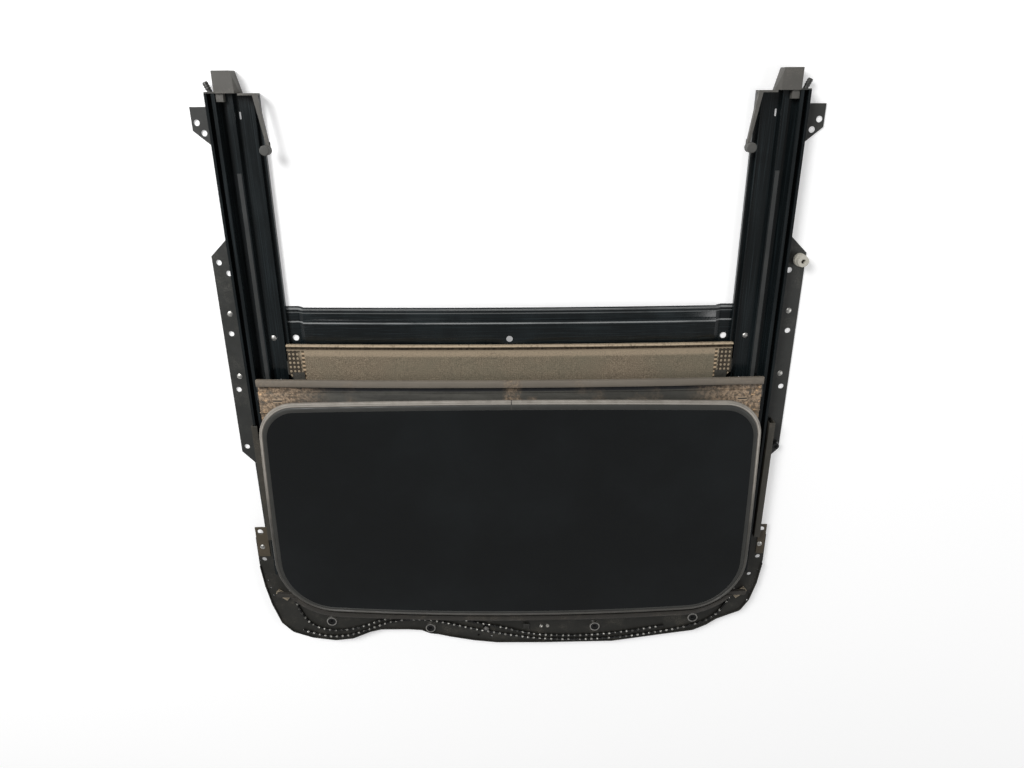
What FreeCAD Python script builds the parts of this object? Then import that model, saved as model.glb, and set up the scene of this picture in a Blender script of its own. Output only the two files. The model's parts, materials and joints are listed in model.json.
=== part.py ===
import FreeCAD, Part
import math
import os

# Sliding and tilting car sunroof, out of the car: two guide rails tied by a rear cross
# member and a front frame, a glass pane on carriages, a sunshade, a wind deflector and
# a motor with two drive cables.
# Lengths are in millimetres. X points to the car's left, Y to its rear and Z up. The
# origin is the middle of the outline, on the plane that the unit rests on.
# Places across the car are given for the left side and mirrored for the right.

Vector = FreeCAD.Vector
ORIGIN = Vector(0, 0, 0)
ACROSS = Vector(1, 0, 0)
ALONG = Vector(0, 1, 0)
UP = Vector(0, 0, 1)

# Sheet steel under the rails
SHEET = 2.0
SHEET_INNER_X = 432.0

# Guide rails
RAIL_OUTER_X = 447.0
RAIL_WIDTH = 76.0
RAIL_HEIGHT = 22.0
RAIL_REAR_Y = 497.5
RAIL_FRONT_Y = -352.0
RAIL_FLOOR = 2.0
RAIL_WALL = 1.8
OUTER_LIP = 4.0
DRIVE_RIB = 11.6
DRIVE_RIB_LIP = 1.7
DRIVE_RIB_DROP = 2.0
GUIDE_END = 27.5
RIDGE_HEIGHT = 9.5
RIDGE_WIDTH = 10.5
RIDGE_FENCE = 2.0
INNER_RIB = 66.5
INNER_RIB_HEIGHT = 9.0
INNER_LIP_HEIGHT = 7.0
DRAIN_SLOT = (404.0, 466.0, 3.0, 11.0)
TICK_SLOT = (395.0, 34.5, 2.4, 8.0)

# Slide strip on the ridge of each rail
STRIP_WIDTH = 6.4
STRIP_THICKNESS = 1.5
STRIP_REAR_Y = 382.0
STRIP_FRONT_Y = -330.0

# Roof crown that glass, gutter, deflector, sunshade and cross member share
CROWN_RADIUS = 7800.0

# Rear cross member, with levels as heights at the middle of the car
CROSS_LEVEL = 15.5
CROSS_SHEET = 1.6
CROSS_FRONT_Y = 76.0
CROSS_REAR_Y = 167.5
CROSS_BEAD_Y = 141.5
CROSS_BEAD_WIDTH = 6.0
CROSS_BEAD_HEIGHT = 3.0
CROSS_LIP = 5.0
CROSS_END_GAP = 28.0
CROSS_JOGGLE = 10.0
CROSS_TAB_REACH = 41.0
CROSS_HOLE_INSET = 10.0
CROSS_HOLE_Y = 112.5
CROSS_HOLE_R = 5.35
CROSS_RIVET_REACH = 27.0

# Side flanges
FLANGE_OUTER_X = 482.0
FLANGE_REAR_Y = 286.0
FLANGE_CORNER_Y = 252.0
FLANGE_FRONT_CORNER_Y = -101.5
FLANGE_WAIST_X = 462.0
FLANGE_WAIST_Y = -123.5
FLANGE_FRONT_Y = -274.0
FLANGE_HOLE_R = 4.75
FLANGE_HOLES = ((471.6, 241.5), (458.0, 223.5), (469.0, 120.0), (471.0, 18.5), (472.0, -92.0))
FLANGE_RIVETS = ((466.0, 155.0), (466.0, 43.0))

# Rear brackets
BRACKET_OUTER_X = 480.0
BRACKET_REAR_Y = 478.5
BRACKET_CORNER_Y = 444.5
BRACKET_FRONT_Y = 416.5
BRACKET_HOLES = ((472.4, 456.0), (463.3, 441.0))
BRACKET_SLOT = (452.5, 466.0, 5.0, 14.0)

# Rail end caps, drain nipples and end stops
CAP_OUTER_X = 432.0
CAP_INNER_X = 396.0
CAP_CREASE = 6.0
CAP_LENGTH = 31.0
CAP_TAPER = 8.0
CAP_TONGUE = 12.0
NIPPLE_X = 440.2
NIPPLE_Z = 12.0
NIPPLE_ANGLE = 25.0
NIPPLE_LENGTH = 17.0
NIPPLE_R = 3.6
NIPPLE_BARB = 0.9
NIPPLE_BORE_R = 2.2
NIPPLE_PLATE = 2.0
STOP_PLATE = 3.0
STOP_PLATE_X = (368.5, 396.0)
ARM_LOW = 21.0
ARM_TOP = 29.0
ARM_WIDTH = 6.5
ARM_LEAN = 9.0
BUFFER_X = 364.0
BUFFER_Y = 417.5
BUFFER_R = 7.5
BUFFER_TOP = 38.0

# Front frame, with the plan of its front edge from left to right
FRAME_TOP = 12.0
FRAME_PLATE = 3.0
FRAME_SKIRT = 1.8
FRAME_RIM = 3.0
FRAME_OPENING_Y = -385.0
FRAME_OPENING_X = 371.0
FRAME_EAR_Y = -275.0
FRAME_EAR_X = 478.5
FRAME_OPENING_R = 25.0
FRAME_BEND_R = 14.0
FRAME_CORNER_R = 3.0
FRAME_EDGE = (
    (479.0, -335.0), (472.5, -385.0), (462.0, -425.0), (447.0, -450.0), (425.0, -459.5),
    (402.0, -470.0), (384.0, -484.0), (358.0, -497.0), (297.0, -506.5), (200.0, -522.5),
    (60.0, -525.0), (-30.0, -524.5), (-75.0, -519.0), (-120.0, -510.0), (-145.0, -503.5),
    (-162.0, -501.0), (-178.0, -493.0), (-205.0, -491.0), (-258.0, -491.0), (-280.0, -497.0),
    (-315.0, -513.0), (-350.0, -517.0), (-395.0, -510.0), (-432.0, -495.5), (-452.0, -473.0),
    (-466.0, -428.0), (-474.0, -385.0), (-479.0, -335.0),
)
FRAME_RIBS_X = (-310.0, -220.0, -130.0, 130.0, 220.0, 310.0)
FRAME_RIB = 2.0
EDGE_HOLE_R = 2.0
EDGE_HOLE_FIRST = (471.5, -357.0)
EDGE_HOLE_STEP = (-3.2, -17.6)
EDGE_HOLES = 5
FRAME_HOLES = (
    (-383.0, -444.0, 3.2), (386.0, -440.0, 3.2), (456.4, -366.0, 4.0), (-468.4, -326.0, 4.6),
    (468.4, -326.0, 4.6), (-65.3, -508.0, 2.6), (-39.5, -512.0, 2.2),
)

# Side plates on the frame's ears
SIDE_PLATE_OUTER_X = 477.0
SIDE_PLATE_LEFT_X = 462.6
SIDE_PLATE_RIGHT_X = 455.0
SIDE_PLATE_Y = (-318.0, -254.0)
SIDE_PLATE = 1.5
SIDE_HOLE_X = 467.5
SIDE_HOLE_Y = -264.0
SIDE_HOLE_R = 5.2
SIDE_RIVET_Y = -297.0

# Bushes in the front frame
BUSHES = ((355.5, -465.5), (164.0, -486.0), (-160.0, -487.7), (-353.5, -470.0))
BUSH_R = 9.6
BUSH_RING = 1.7
BUSH_HEIGHT = 4.0
BUSH_SLEEVE_R = 5.6
BUSH_BORE_R = 3.2
BUSH_FLOOR = 1.5

# Foam pads, locating peg and flange fittings
PAD_X = 441.5
PAD_Y = -406.0
PAD_LENGTH = 26.0
PAD_WIDTH = 8.5
PAD_HEIGHT = 6.0
PAD_ANGLE = 40.0
PEG_X = -20.7
PEG_R = 3.5
PEG_TIP_Y = -528.5
PEG_Z = 6.5
PEG_LENGTH = 14.0
ADJUSTER_R = 10.3
ADJUSTER_HEIGHT = 20.0
ADJUSTER_SOCKET = 4.0
KNOB_R = 8.0
KNOB_HEIGHT = 12.0
FITTING_FIT = 0.1

# Cable covers beside the rails, each side as (inner, outer) distance from the middle
COVER_LEFT_X = (450.5, 461.0)
COVER_RIGHT_X = (439.5, 450.0)
COVER_REAR_Y = -40.5
COVER_FRONT_Y = -273.5
COVER_TOP = 27.0
COVER_WALL = 1.6

# Rivets
RIVET_R = 2.4
RIVET_HEAD_R = 4.8
RIVET_HEAD = 1.6

# Drive pinion and motor
PINION_X = -50.0
PINION_Y = -488.0
PINION_TEETH = 10
PINION_R = 5.1
PINION_ROOT_R = 3.9
PINION_HEIGHT = 5.2
SHAFT_R = 2.5
RUNNING_FIT = 0.05
CASE_LOW = 0.4
CASE_REAR_Y = -404.0
CASE_STEP_Y = -455.0
CASE_FRONT_Y = -512.0
CASE_HALF = 28.0
CASE_TOP = 30.0
CASE_CORNER_R = 9.0
MOTOR_R = 17.0
MOTOR_END_X = 72.0
MOTOR_Y = -429.0
MOTOR_CUT = 4.0
BRACE_Y = (-495.0, -477.0)
BRACE_END_X = 80.0
SCREWS = ((58.5, -485.8), (71.0, -485.8), (-36.0, -468.0))
SCREW_R = 2.0
SCREW_HEAD_R = 3.4
SCREW_HEAD = 2.6
SCREW_DEPTH = 5.0
CLIP_X = 29.0
CLIP_Y = -484.0
CLIP_SIZE = 11.0
CLIP_HEIGHT = 6.0

# Drive cables: routes in plan from the carriage, chosen by hand, with the straight run
# past the pinion worked out between them
CABLE_R = 2.5
CABLE_GAP = 0.1
CABLE_MESH = 8.1
CABLE_MESH_RUN = 36.0
CABLE_MESH_ANGLE = -12.9
CABLE_RADIUS_SHARE = 0.45
LEFT_ROUTE_A = (
    (431.0, -392.0), (421.0, -424.0), (405.0, -455.0), (378.0, -477.0), (340.0, -489.5),
    (290.0, -500.5), (235.0, -510.5), (175.0, -516.8), (110.0, -518.5), (48.0, -515.0),
)
LEFT_ROUTE_B = (
    (-135.0, -473.5), (-180.0, -466.0), (-225.0, -468.5), (-262.0, -481.0), (-300.0, -499.5),
    (-345.0, -509.3), (-385.0, -503.0), (-412.0, -491.0),
)
RIGHT_ROUTE_A = (
    (-428.0, -392.0), (-418.0, -425.0), (-410.0, -452.0), (-395.0, -477.0), (-368.0, -491.0),
    (-335.0, -493.5), (-295.0, -485.0), (-258.0, -468.5), (-220.0, -459.5), (-170.0, -457.0),
    (-125.0, -461.5),
)
RIGHT_ROUTE_B = ((30.0, -502.5), (80.0, -508.3), (140.0, -508.5), (200.0, -503.5), (250.0, -495.0), (300.0, -485.0))

# Carriages in the rails
CARRIAGE_GAP = 0.5
CARRIAGE_FLOOR_GAP = 0.3
CARRIAGE_HEIGHT = 10.5
CARRIAGE_FRONT_Y = -332.0
CARRIAGE_REAR_Y = 36.0
CARRIAGE_CHEEK = 4.0
SHOE_LENGTH = 46.0
WAIST_NARROW = 2.5
LUG_FRONT_Y = -290.0
LUG_LENGTH = 20.0
LUG_TOP = 24.6
LUG_HALF = 2.45
PIN_R = 4.0
HINGE_Y = -320.0
HINGE_Z = 27.0
EAR_R = 9.0
LEVER_Y = -120.0
LEVER_Z = 21.5
POST_LENGTH = 26.0

# Rear gutter
GUTTER_LEVEL = 41.5
GUTTER_SHEET = 1.6
GUTTER_REAR_Y = 48.9
GUTTER_STRIP = 11.7
GUTTER_GROOVE = 11.6
GUTTER_GROOVE_DEPTH = 3.0
GUTTER_FRONT_Y = -12.0
GUTTER_STEP = 5.0
GUTTER_INSET = 19.0
GUTTER_END_WIDTH = 30.0
GUTTER_END_FRONT_Y = -36.0

# Glass pane with its seal, as a plan outline of four bowed sides
GLASS_REAR_Y = 18.7
GLASS_FRONT_Y = -421.5
GLASS_REAR_INSET = 18.5
GLASS_FRONT_INSET = 11.0
GLASS_REAR_BOW = 9.0
GLASS_FRONT_BOW = 10.0
GLASS_SIDE_BOW = 2.5
GLASS_REAR_R = 68.0
GLASS_FRONT_R = 108.0
GLASS_LEVEL = 56.0
GLASS_THICKNESS = 4.0
SEAL_WIDTH = 13.0
PANE_AHEAD = 3.7
SEAL_PROUD = 1.0
SEAT_GAP = 0.05
SEAL_DROP = 1.5

# Brackets that carry the glass
GLASS_BRACKET_X = (404.0, 412.0)
BRACKET_FRONT_INSET = 75.5
BRACKET_REAR_INSET = 63.7
GLASS_BRACKET_WEB = 9.0
GLASS_BOSS_R = 8.5
BRACKET_WASHER = 0.6
GLASS_SCREW_INSET = 12.5
GLASS_SCREW_MIDDLE_Y = -190.0
BRACKET_TAB_X = 386.0
BRACKET_TAB_WIDTH = 22.0
BRACKET_TAB = 2.0

# Lift levers
LEVER_INNER_X = 413.6
LEVER_THICKNESS = 4.6
LEVER_PIN_Y = -60.0
LEVER_PIN_Z = 34.0
LEVER_PIN_R = 3.0
LEVER_HUB_R = 7.0
LEVER_EYE_R = 5.5
SLOT_CLEARANCE = 1.0
SLOT_FRONT = 16.0
SLOT_REAR = 4.5

# Sunshade
SHADE_LEVEL = 21.5
SHADE_THICKNESS = 4.0
SHADE_HALF = 375.0
SHADE_FRONT_HALF = 369.0
SHADE_REAR_Y = 104.5
SHADE_WAIST_Y = 53.5
SHADE_FRONT_Y = -375.0
SHADE_LIP_WIDTH = 10.0
SHADE_LIP_HEIGHT = 4.5
SHADE_LIP_DROP = 1.2
SHADE_CORNER_R = 6.0
SHOE_Y = (62.0, -336.0)
SHOE_SIZE = 24.0
SHOE_INNER_X = 360.0
CLIP_PLATE = (358.0, 49.5, 20.0, 13.0)
CLIP_PLATE_HEIGHT = 2.4
MARK_X = (-42.0, -26.5, -11.0)
MARK_Y = 86.0
MARK_R = 6.0
MARK_DEPTH = 0.6

# Wind deflector
DEFLECTOR_GAP = 6.5
DEFLECTOR_AHEAD = 8.0
DEFLECTOR_WIDTH = 9.5
DEFLECTOR_LEVEL = 38.0
DEFLECTOR_HEIGHT = 8.0
DEFLECTOR_BACK_Y = -398.0
DEFLECTOR_ARM_X = (396.0, 402.0)
DEFLECTOR_PIVOT_Y = -215.0
DEFLECTOR_PIVOT_Z = 14.0
DEFLECTOR_ARM_DEPTH = 7.0
DEFLECTOR_PIN_R = 3.0
DEFLECTOR_EYE_R = 6.0
PIVOT_BLOCK_X = (385.0, 395.4)
PIVOT_BLOCK_LENGTH = 18.0

# How far a block reaches past the piece that is cut from it
TRIM = 20.0

# Heights and distances that follow from the sizes above
rail_base = SHEET
rail_top = rail_base + RAIL_HEIGHT
rail_floor = rail_base + RAIL_FLOOR
ridge_top = rail_base + RIDGE_HEIGHT
rail_inner_x = RAIL_OUTER_X - RAIL_WIDTH
guide_outer_x = RAIL_OUTER_X - DRIVE_RIB - RAIL_WALL
guide_inner_x = RAIL_OUTER_X - GUIDE_END
drive_channel_x = RAIL_OUTER_X - (OUTER_LIP + DRIVE_RIB - DRIVE_RIB_LIP) / 2
cable_z = FRAME_TOP + CABLE_GAP + CABLE_R
frame_low = FRAME_TOP - FRAME_PLATE
cross_half = rail_inner_x - CROSS_END_GAP
cross_hole_x = rail_inner_x - CROSS_HOLE_INSET
cross_tab_x = rail_inner_x + CROSS_TAB_REACH
cross_rivet_x = rail_inner_x + CROSS_RIVET_REACH
gutter_half = RAIL_OUTER_X - GUTTER_INSET
strip_front_y = GUTTER_REAR_Y - GUTTER_STRIP
groove_front_y = strip_front_y - GUTTER_GROOVE
groove_low = GUTTER_LEVEL - GUTTER_GROOVE_DEPTH
glass_rear_half = RAIL_OUTER_X - GLASS_REAR_INSET
glass_front_half = RAIL_OUTER_X - GLASS_FRONT_INSET
bracket_front_y = GLASS_FRONT_Y + BRACKET_FRONT_INSET
bracket_rear_y = GLASS_REAR_Y - BRACKET_REAR_INSET
glass_screws_y = (bracket_front_y + GLASS_SCREW_INSET, GLASS_SCREW_MIDDLE_Y, bracket_rear_y - GLASS_SCREW_INSET)
crown_half = RAIL_OUTER_X + TRIM
all_heights = (-TRIM, GLASS_LEVEL + TRIM)
past_heights = (all_heights[0] - TRIM, all_heights[1] + TRIM)


def box(x, y, z):
    """A block between pairs of limits along the three axes."""
    return Part.makeBox(x[1] - x[0], y[1] - y[0], z[1] - z[0], Vector(x[0], y[0], z[0]))


def disc(x, y, z, radius):
    """An upright cylinder between two heights."""
    return Part.makeCylinder(radius, z[1] - z[0], Vector(x, y, z[0]))


def pin_across(x, y, z, radius):
    """A cylinder along X between two distances from the middle."""
    return Part.makeCylinder(radius, x[1] - x[0], Vector(x[0], y, z), ACROSS)


def corner_radii(points, share):
    """The radius at each inner point of a route, from its shorter run and its turn."""
    radii = []
    for before, here, after in zip(points, points[1:], points[2:]):
        first, second = here - before, after - here
        half_turn = first.getAngle(second) / 2
        radii.append(share * min(first.Length, second.Length) / math.tan(half_turn))
    return radii


def rounded_edges(points, radii):
    """Straight runs joined by tangent arcs, through points with a radius at each inner one."""
    edges = []
    start = points[0]
    for before, here, after, radius in zip(points, points[1:], points[2:], radii):
        to_before = (before - here).normalize()
        to_after = (after - here).normalize()
        half = to_before.getAngle(to_after) / 2
        reach = radius / math.tan(half)
        first = here + to_before * reach
        last = here + to_after * reach
        middle = here + (to_before + to_after).normalize() * (radius / math.sin(half) - radius)
        if (first - start).Length > 1e-6:
            edges.append(Part.LineSegment(start, first).toShape())
        edges.append(Part.Arc(first, middle, last).toShape())
        start = last
    if (points[-1] - start).Length > 1e-6:
        edges.append(Part.LineSegment(start, points[-1]).toShape())
    return edges


def rounded_plan(points, radii):
    """A closed flat outline whose corners are rounded, each by its own radius."""
    corners = [Vector(x, y, 0) for x, y in points]
    middle = (corners[0] + corners[-1]) * 0.5
    ring = [middle] + corners + [middle]
    return Part.Wire(rounded_edges(ring, radii))


def plan_solid(outline, z):
    """A flat outline raised between two heights."""
    solid = Part.Face(outline).extrude(Vector(0, 0, z[1] - z[0]))
    solid.translate(Vector(0, 0, z[0]))
    return solid


def polygon_plan(points):
    """A closed flat outline with sharp corners."""
    return Part.makePolygon([Vector(x, y, 0) for x, y in points + points[:1]])


def across_section(points, y):
    """A section drawn in X and Z, carried along Y."""
    wire = Part.makePolygon([Vector(x, y[0], z) for x, z in points + points[:1]])
    return Part.Face(wire).extrude(Vector(0, y[1] - y[0], 0))


def crowned(points, half_width):
    """A section in Y and level at the middle, swung sideways about the roof's crown axis."""
    wire = Part.makePolygon([Vector(0, y, level) for y, level in points + points[:1]])
    half_angle = math.degrees(math.asin(half_width / CROWN_RADIUS))
    face = Part.Face(wire)
    centre = Vector(0, 0, -CROWN_RADIUS)
    face.rotate(centre, ALONG, -half_angle)
    return face.revolve(centre, ALONG, 2 * half_angle)


def crown_slab(y, levels, half_width):
    """A crowned sheet between two levels."""
    corners = [(y[0], levels[0]), (y[1], levels[0]), (y[1], levels[1]), (y[0], levels[1])]
    return crowned(corners, half_width)


def crown_height(level, x):
    """The height of a level at a distance from the middle."""
    return math.sqrt((CROWN_RADIUS + level) ** 2 - x * x) - CROWN_RADIUS


def mirrored(shape):
    return shape.mirror(ORIGIN, ACROSS)


def write(name, shape):
    """Checks a piece and writes its file."""
    for solid in shape.Solids:
        if not solid.isValid():
            raise ValueError(name + " is not a sound solid")
    solids = shape.Solids
    result = solids[0] if len(solids) == 1 else Part.makeCompound(solids)
    result.exportStep(os.path.join("parts", name + ".step"))


def write_pair(name, shape):
    """Writes a left piece and its mirror image."""
    write(name + "_left", shape)
    write(name + "_right", mirrored(shape))


def rivet(x, y, low, top):
    """A round-headed rivet whose head stands on the upper sheet."""
    shank = disc(x, y, (low, top), RIVET_R)
    head = Part.makeSphere(RIVET_HEAD_R * 1.6, Vector(x, y, top + RIVET_HEAD - RIVET_HEAD_R * 1.6))
    head = head.common(disc(x, y, (top, top + RIVET_HEAD), RIVET_HEAD_R))
    return shank.fuse(head).removeSplitter()


def guide_rail():
    """The black extruded rail: drive channel, guide channel, ridge, floor and inner lip."""
    lip = RIDGE_HEIGHT
    section = [
        (0, 0), (GUIDE_END + RAIL_WALL, 0), (GUIDE_END + RAIL_WALL, lip - RAIL_WALL),
        (GUIDE_END + RIDGE_WIDTH - RAIL_WALL, lip - RAIL_WALL), (GUIDE_END + RIDGE_WIDTH - RAIL_WALL, 0),
        (RAIL_WIDTH, 0), (RAIL_WIDTH, INNER_LIP_HEIGHT), (RAIL_WIDTH - RAIL_WALL, INNER_LIP_HEIGHT),
        (RAIL_WIDTH - RAIL_WALL, RAIL_FLOOR), (INNER_RIB + RAIL_WALL, RAIL_FLOOR),
        (INNER_RIB + RAIL_WALL, INNER_RIB_HEIGHT), (INNER_RIB, INNER_RIB_HEIGHT), (INNER_RIB, RAIL_FLOOR),
        (GUIDE_END + RIDGE_WIDTH, RAIL_FLOOR), (GUIDE_END + RIDGE_WIDTH, lip + RIDGE_FENCE),
        (GUIDE_END + RIDGE_WIDTH - RAIL_WALL, lip + RIDGE_FENCE), (GUIDE_END + RIDGE_WIDTH - RAIL_WALL, lip),
        (GUIDE_END, lip), (GUIDE_END, RAIL_FLOOR), (DRIVE_RIB + RAIL_WALL, RAIL_FLOOR),
        (DRIVE_RIB + RAIL_WALL, RAIL_HEIGHT - DRIVE_RIB_DROP - RAIL_WALL),
        (DRIVE_RIB + RAIL_WALL + DRIVE_RIB_LIP, RAIL_HEIGHT - DRIVE_RIB_DROP - RAIL_WALL),
        (DRIVE_RIB + RAIL_WALL + DRIVE_RIB_LIP, RAIL_HEIGHT - DRIVE_RIB_DROP),
        (DRIVE_RIB - DRIVE_RIB_LIP, RAIL_HEIGHT - DRIVE_RIB_DROP),
        (DRIVE_RIB - DRIVE_RIB_LIP, RAIL_HEIGHT - DRIVE_RIB_DROP - RAIL_WALL),
        (DRIVE_RIB, RAIL_HEIGHT - DRIVE_RIB_DROP - RAIL_WALL), (DRIVE_RIB, RAIL_FLOOR),
        (RAIL_WALL, RAIL_FLOOR), (RAIL_WALL, RAIL_HEIGHT - RAIL_WALL), (OUTER_LIP, RAIL_HEIGHT - RAIL_WALL),
        (OUTER_LIP, RAIL_HEIGHT), (0, RAIL_HEIGHT),
    ]
    points = [(RAIL_OUTER_X - across, rail_base + height) for across, height in section]
    rail = across_section(points, (RAIL_FRONT_Y, RAIL_REAR_Y))
    for x, y, width, length in (DRAIN_SLOT, TICK_SLOT):
        rail = rail.cut(slot(x, y, width, length, (rail_base - 1, rail_floor + 1)))
    return rail.cut(disc(cross_rivet_x, CROSS_HOLE_Y, (0, rail_floor + 1), RIVET_R + FITTING_FIT))


def slot(x, y, width, length, z):
    """A hole with round ends, lengthwise of the car."""
    radius = width / 2
    reach = length / 2 - radius
    shape = box((x - radius, x + radius), (y - reach, y + reach), z)
    for end in (y - reach, y + reach):
        shape = shape.fuse(disc(x, end, z, radius))
    return shape.removeSplitter()


def slide_strip():
    """The pale strip that the carriage's outrigger runs on, laid on the ridge."""
    outer = RAIL_OUTER_X - GUIDE_END - RAIL_WALL
    return box((outer - STRIP_WIDTH, outer), (STRIP_FRONT_Y, STRIP_REAR_Y), (ridge_top, ridge_top + STRIP_THICKNESS))


def rear_cross_member():
    """A pressed sheet with the roof's crown, joggled down at its ends to lie under the rails."""
    top = CROSS_LEVEL
    low = top - CROSS_SHEET
    bead = (CROSS_BEAD_Y - CROSS_BEAD_WIDTH / 2, CROSS_BEAD_Y + CROSS_BEAD_WIDTH / 2)
    rise = CROSS_BEAD_HEIGHT
    section = [
        (CROSS_FRONT_Y, low - CROSS_LIP), (CROSS_FRONT_Y + CROSS_SHEET, low - CROSS_LIP),
        (CROSS_FRONT_Y + CROSS_SHEET, low), (bead[0], low), (bead[0], low + rise), (bead[1], low + rise),
        (bead[1], low), (CROSS_REAR_Y - CROSS_SHEET, low), (CROSS_REAR_Y - CROSS_SHEET, low + rise),
        (CROSS_REAR_Y, low + rise), (CROSS_REAR_Y, top + rise),
        (CROSS_REAR_Y - 2 * CROSS_SHEET, top + rise), (CROSS_REAR_Y - 2 * CROSS_SHEET, top),
        (bead[1] + CROSS_SHEET, top), (bead[1] + CROSS_SHEET, top + rise), (bead[0] - CROSS_SHEET, top + rise),
        (bead[0] - CROSS_SHEET, top), (CROSS_FRONT_Y, top),
    ]
    member = crowned(section, cross_half)
    end_top = crown_height(top, cross_half)
    inset = 0.6
    joggle = [
        (cross_half - inset, end_top), (cross_half - inset, end_top - CROSS_SHEET),
        (cross_half + CROSS_JOGGLE - CROSS_SHEET, 0), (cross_tab_x, 0), (cross_tab_x, SHEET),
        (cross_half + CROSS_JOGGLE, SHEET),
    ]
    end = across_section(joggle, (CROSS_FRONT_Y, CROSS_REAR_Y))
    end = end.cut(disc(cross_hole_x, CROSS_HOLE_Y, (-1, SHEET + 1), CROSS_HOLE_R))
    end = end.cut(disc(cross_rivet_x, CROSS_HOLE_Y, (-1, SHEET + 1), RIVET_R + FITTING_FIT))
    member = member.cut(disc(0, CROSS_HOLE_Y, (0, top + rise), CROSS_HOLE_R))
    return member.fuse([end, mirrored(end)]).removeSplitter()


def side_flange():
    """The fixing flange: a flat sheet under the rail with holes along its outer edge."""
    plan = [
        (SHEET_INNER_X, FLANGE_REAR_Y), (RAIL_OUTER_X, FLANGE_REAR_Y), (FLANGE_OUTER_X, FLANGE_CORNER_Y),
        (FLANGE_OUTER_X, FLANGE_FRONT_CORNER_Y), (FLANGE_WAIST_X, FLANGE_WAIST_Y),
        (FLANGE_WAIST_X, FLANGE_FRONT_Y), (SHEET_INNER_X, FLANGE_FRONT_Y),
    ]
    flange = plan_solid(polygon_plan(plan), (0, SHEET))
    for x, y in FLANGE_HOLES:
        flange = flange.cut(disc(x, y, (-1, SHEET + 1), FLANGE_HOLE_R))
    for x, y in FLANGE_RIVETS:
        flange = flange.cut(disc(x, y, (-1, SHEET + 1), RIVET_R + FITTING_FIT))
    return flange


def rear_bracket():
    """The rear fixing bracket under the rail."""
    plan = [
        (SHEET_INNER_X, BRACKET_REAR_Y), (BRACKET_OUTER_X, BRACKET_REAR_Y), (BRACKET_OUTER_X, BRACKET_CORNER_Y),
        (RAIL_OUTER_X, BRACKET_FRONT_Y), (SHEET_INNER_X, BRACKET_FRONT_Y),
    ]
    bracket = plan_solid(polygon_plan(plan), (0, SHEET))
    for x, y in BRACKET_HOLES:
        bracket = bracket.cut(disc(x, y, (-1, SHEET + 1), FLANGE_HOLE_R))
    return bracket.cut(slot(*BRACKET_SLOT, (-1, SHEET + 1)))


def rail_end_cap():
    """A moulded cap on the rail's end, creased and tapered on its inner side."""
    low, top = rail_base, rail_top - FITTING_FIT
    section = [
        (CAP_OUTER_X, low), (CAP_OUTER_X, top), (CAP_INNER_X + CAP_CREASE, top),
        (CAP_INNER_X, (low + top) / 2), (CAP_INNER_X, low),
    ]
    cap = across_section(section, (RAIL_REAR_Y, RAIL_REAR_Y + CAP_LENGTH))
    end = RAIL_REAR_Y + CAP_LENGTH
    wedge = [(CAP_INNER_X, RAIL_REAR_Y), (CAP_INNER_X + CAP_TAPER, end), (CAP_INNER_X - 1, end), (CAP_INNER_X - 1, RAIL_REAR_Y)]
    cap = cap.cut(plan_solid(polygon_plan(wedge), (low - 1, top + 1)))
    tongue = box((guide_inner_x + CARRIAGE_GAP, guide_outer_x - CARRIAGE_GAP - DRIVE_RIB_LIP),
                 (RAIL_REAR_Y - CAP_TONGUE, RAIL_REAR_Y), (rail_floor + FITTING_FIT, rail_top - 4))
    return cap.fuse(tongue).removeSplitter()


def drain_nipple():
    """A barbed hose tail on a plate that closes the drive channel."""
    length = NIPPLE_LENGTH
    outline = [(NIPPLE_BORE_R, 0), (NIPPLE_R, 0)]
    pitch = length / 5
    for step in (2, 3, 4):
        outline += [(NIPPLE_R, step * pitch), (NIPPLE_R + NIPPLE_BARB, step * pitch), (NIPPLE_R, (step + 0.9) * pitch)]
    outline += [(NIPPLE_R, length), (NIPPLE_BORE_R, length)]
    wire = Part.makePolygon([Vector(radius, 0, along) for radius, along in outline + outline[:1]])
    tail = Part.Face(wire).revolve(ORIGIN, UP, 360)
    turn = FreeCAD.Rotation(UP, Vector(math.sin(math.radians(NIPPLE_ANGLE)), math.cos(math.radians(NIPPLE_ANGLE)), 0))
    face_y = RAIL_REAR_Y + NIPPLE_PLATE
    tail.Placement = FreeCAD.Placement(Vector(NIPPLE_X, face_y - NIPPLE_PLATE, NIPPLE_Z), turn)
    plate = box((CAP_OUTER_X + 0.3, RAIL_OUTER_X), (RAIL_REAR_Y, face_y), (rail_base, rail_top - 1))
    bore = Part.makeCylinder(NIPPLE_BORE_R, NIPPLE_PLATE * 3, Vector(NIPPLE_X, RAIL_REAR_Y - NIPPLE_PLATE, NIPPLE_Z), ALONG)
    tail = tail.cut(box((0, FLANGE_OUTER_X), (0, RAIL_REAR_Y), (0, rail_top)))
    return plate.fuse(tail).cut(bore).removeSplitter()


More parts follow.
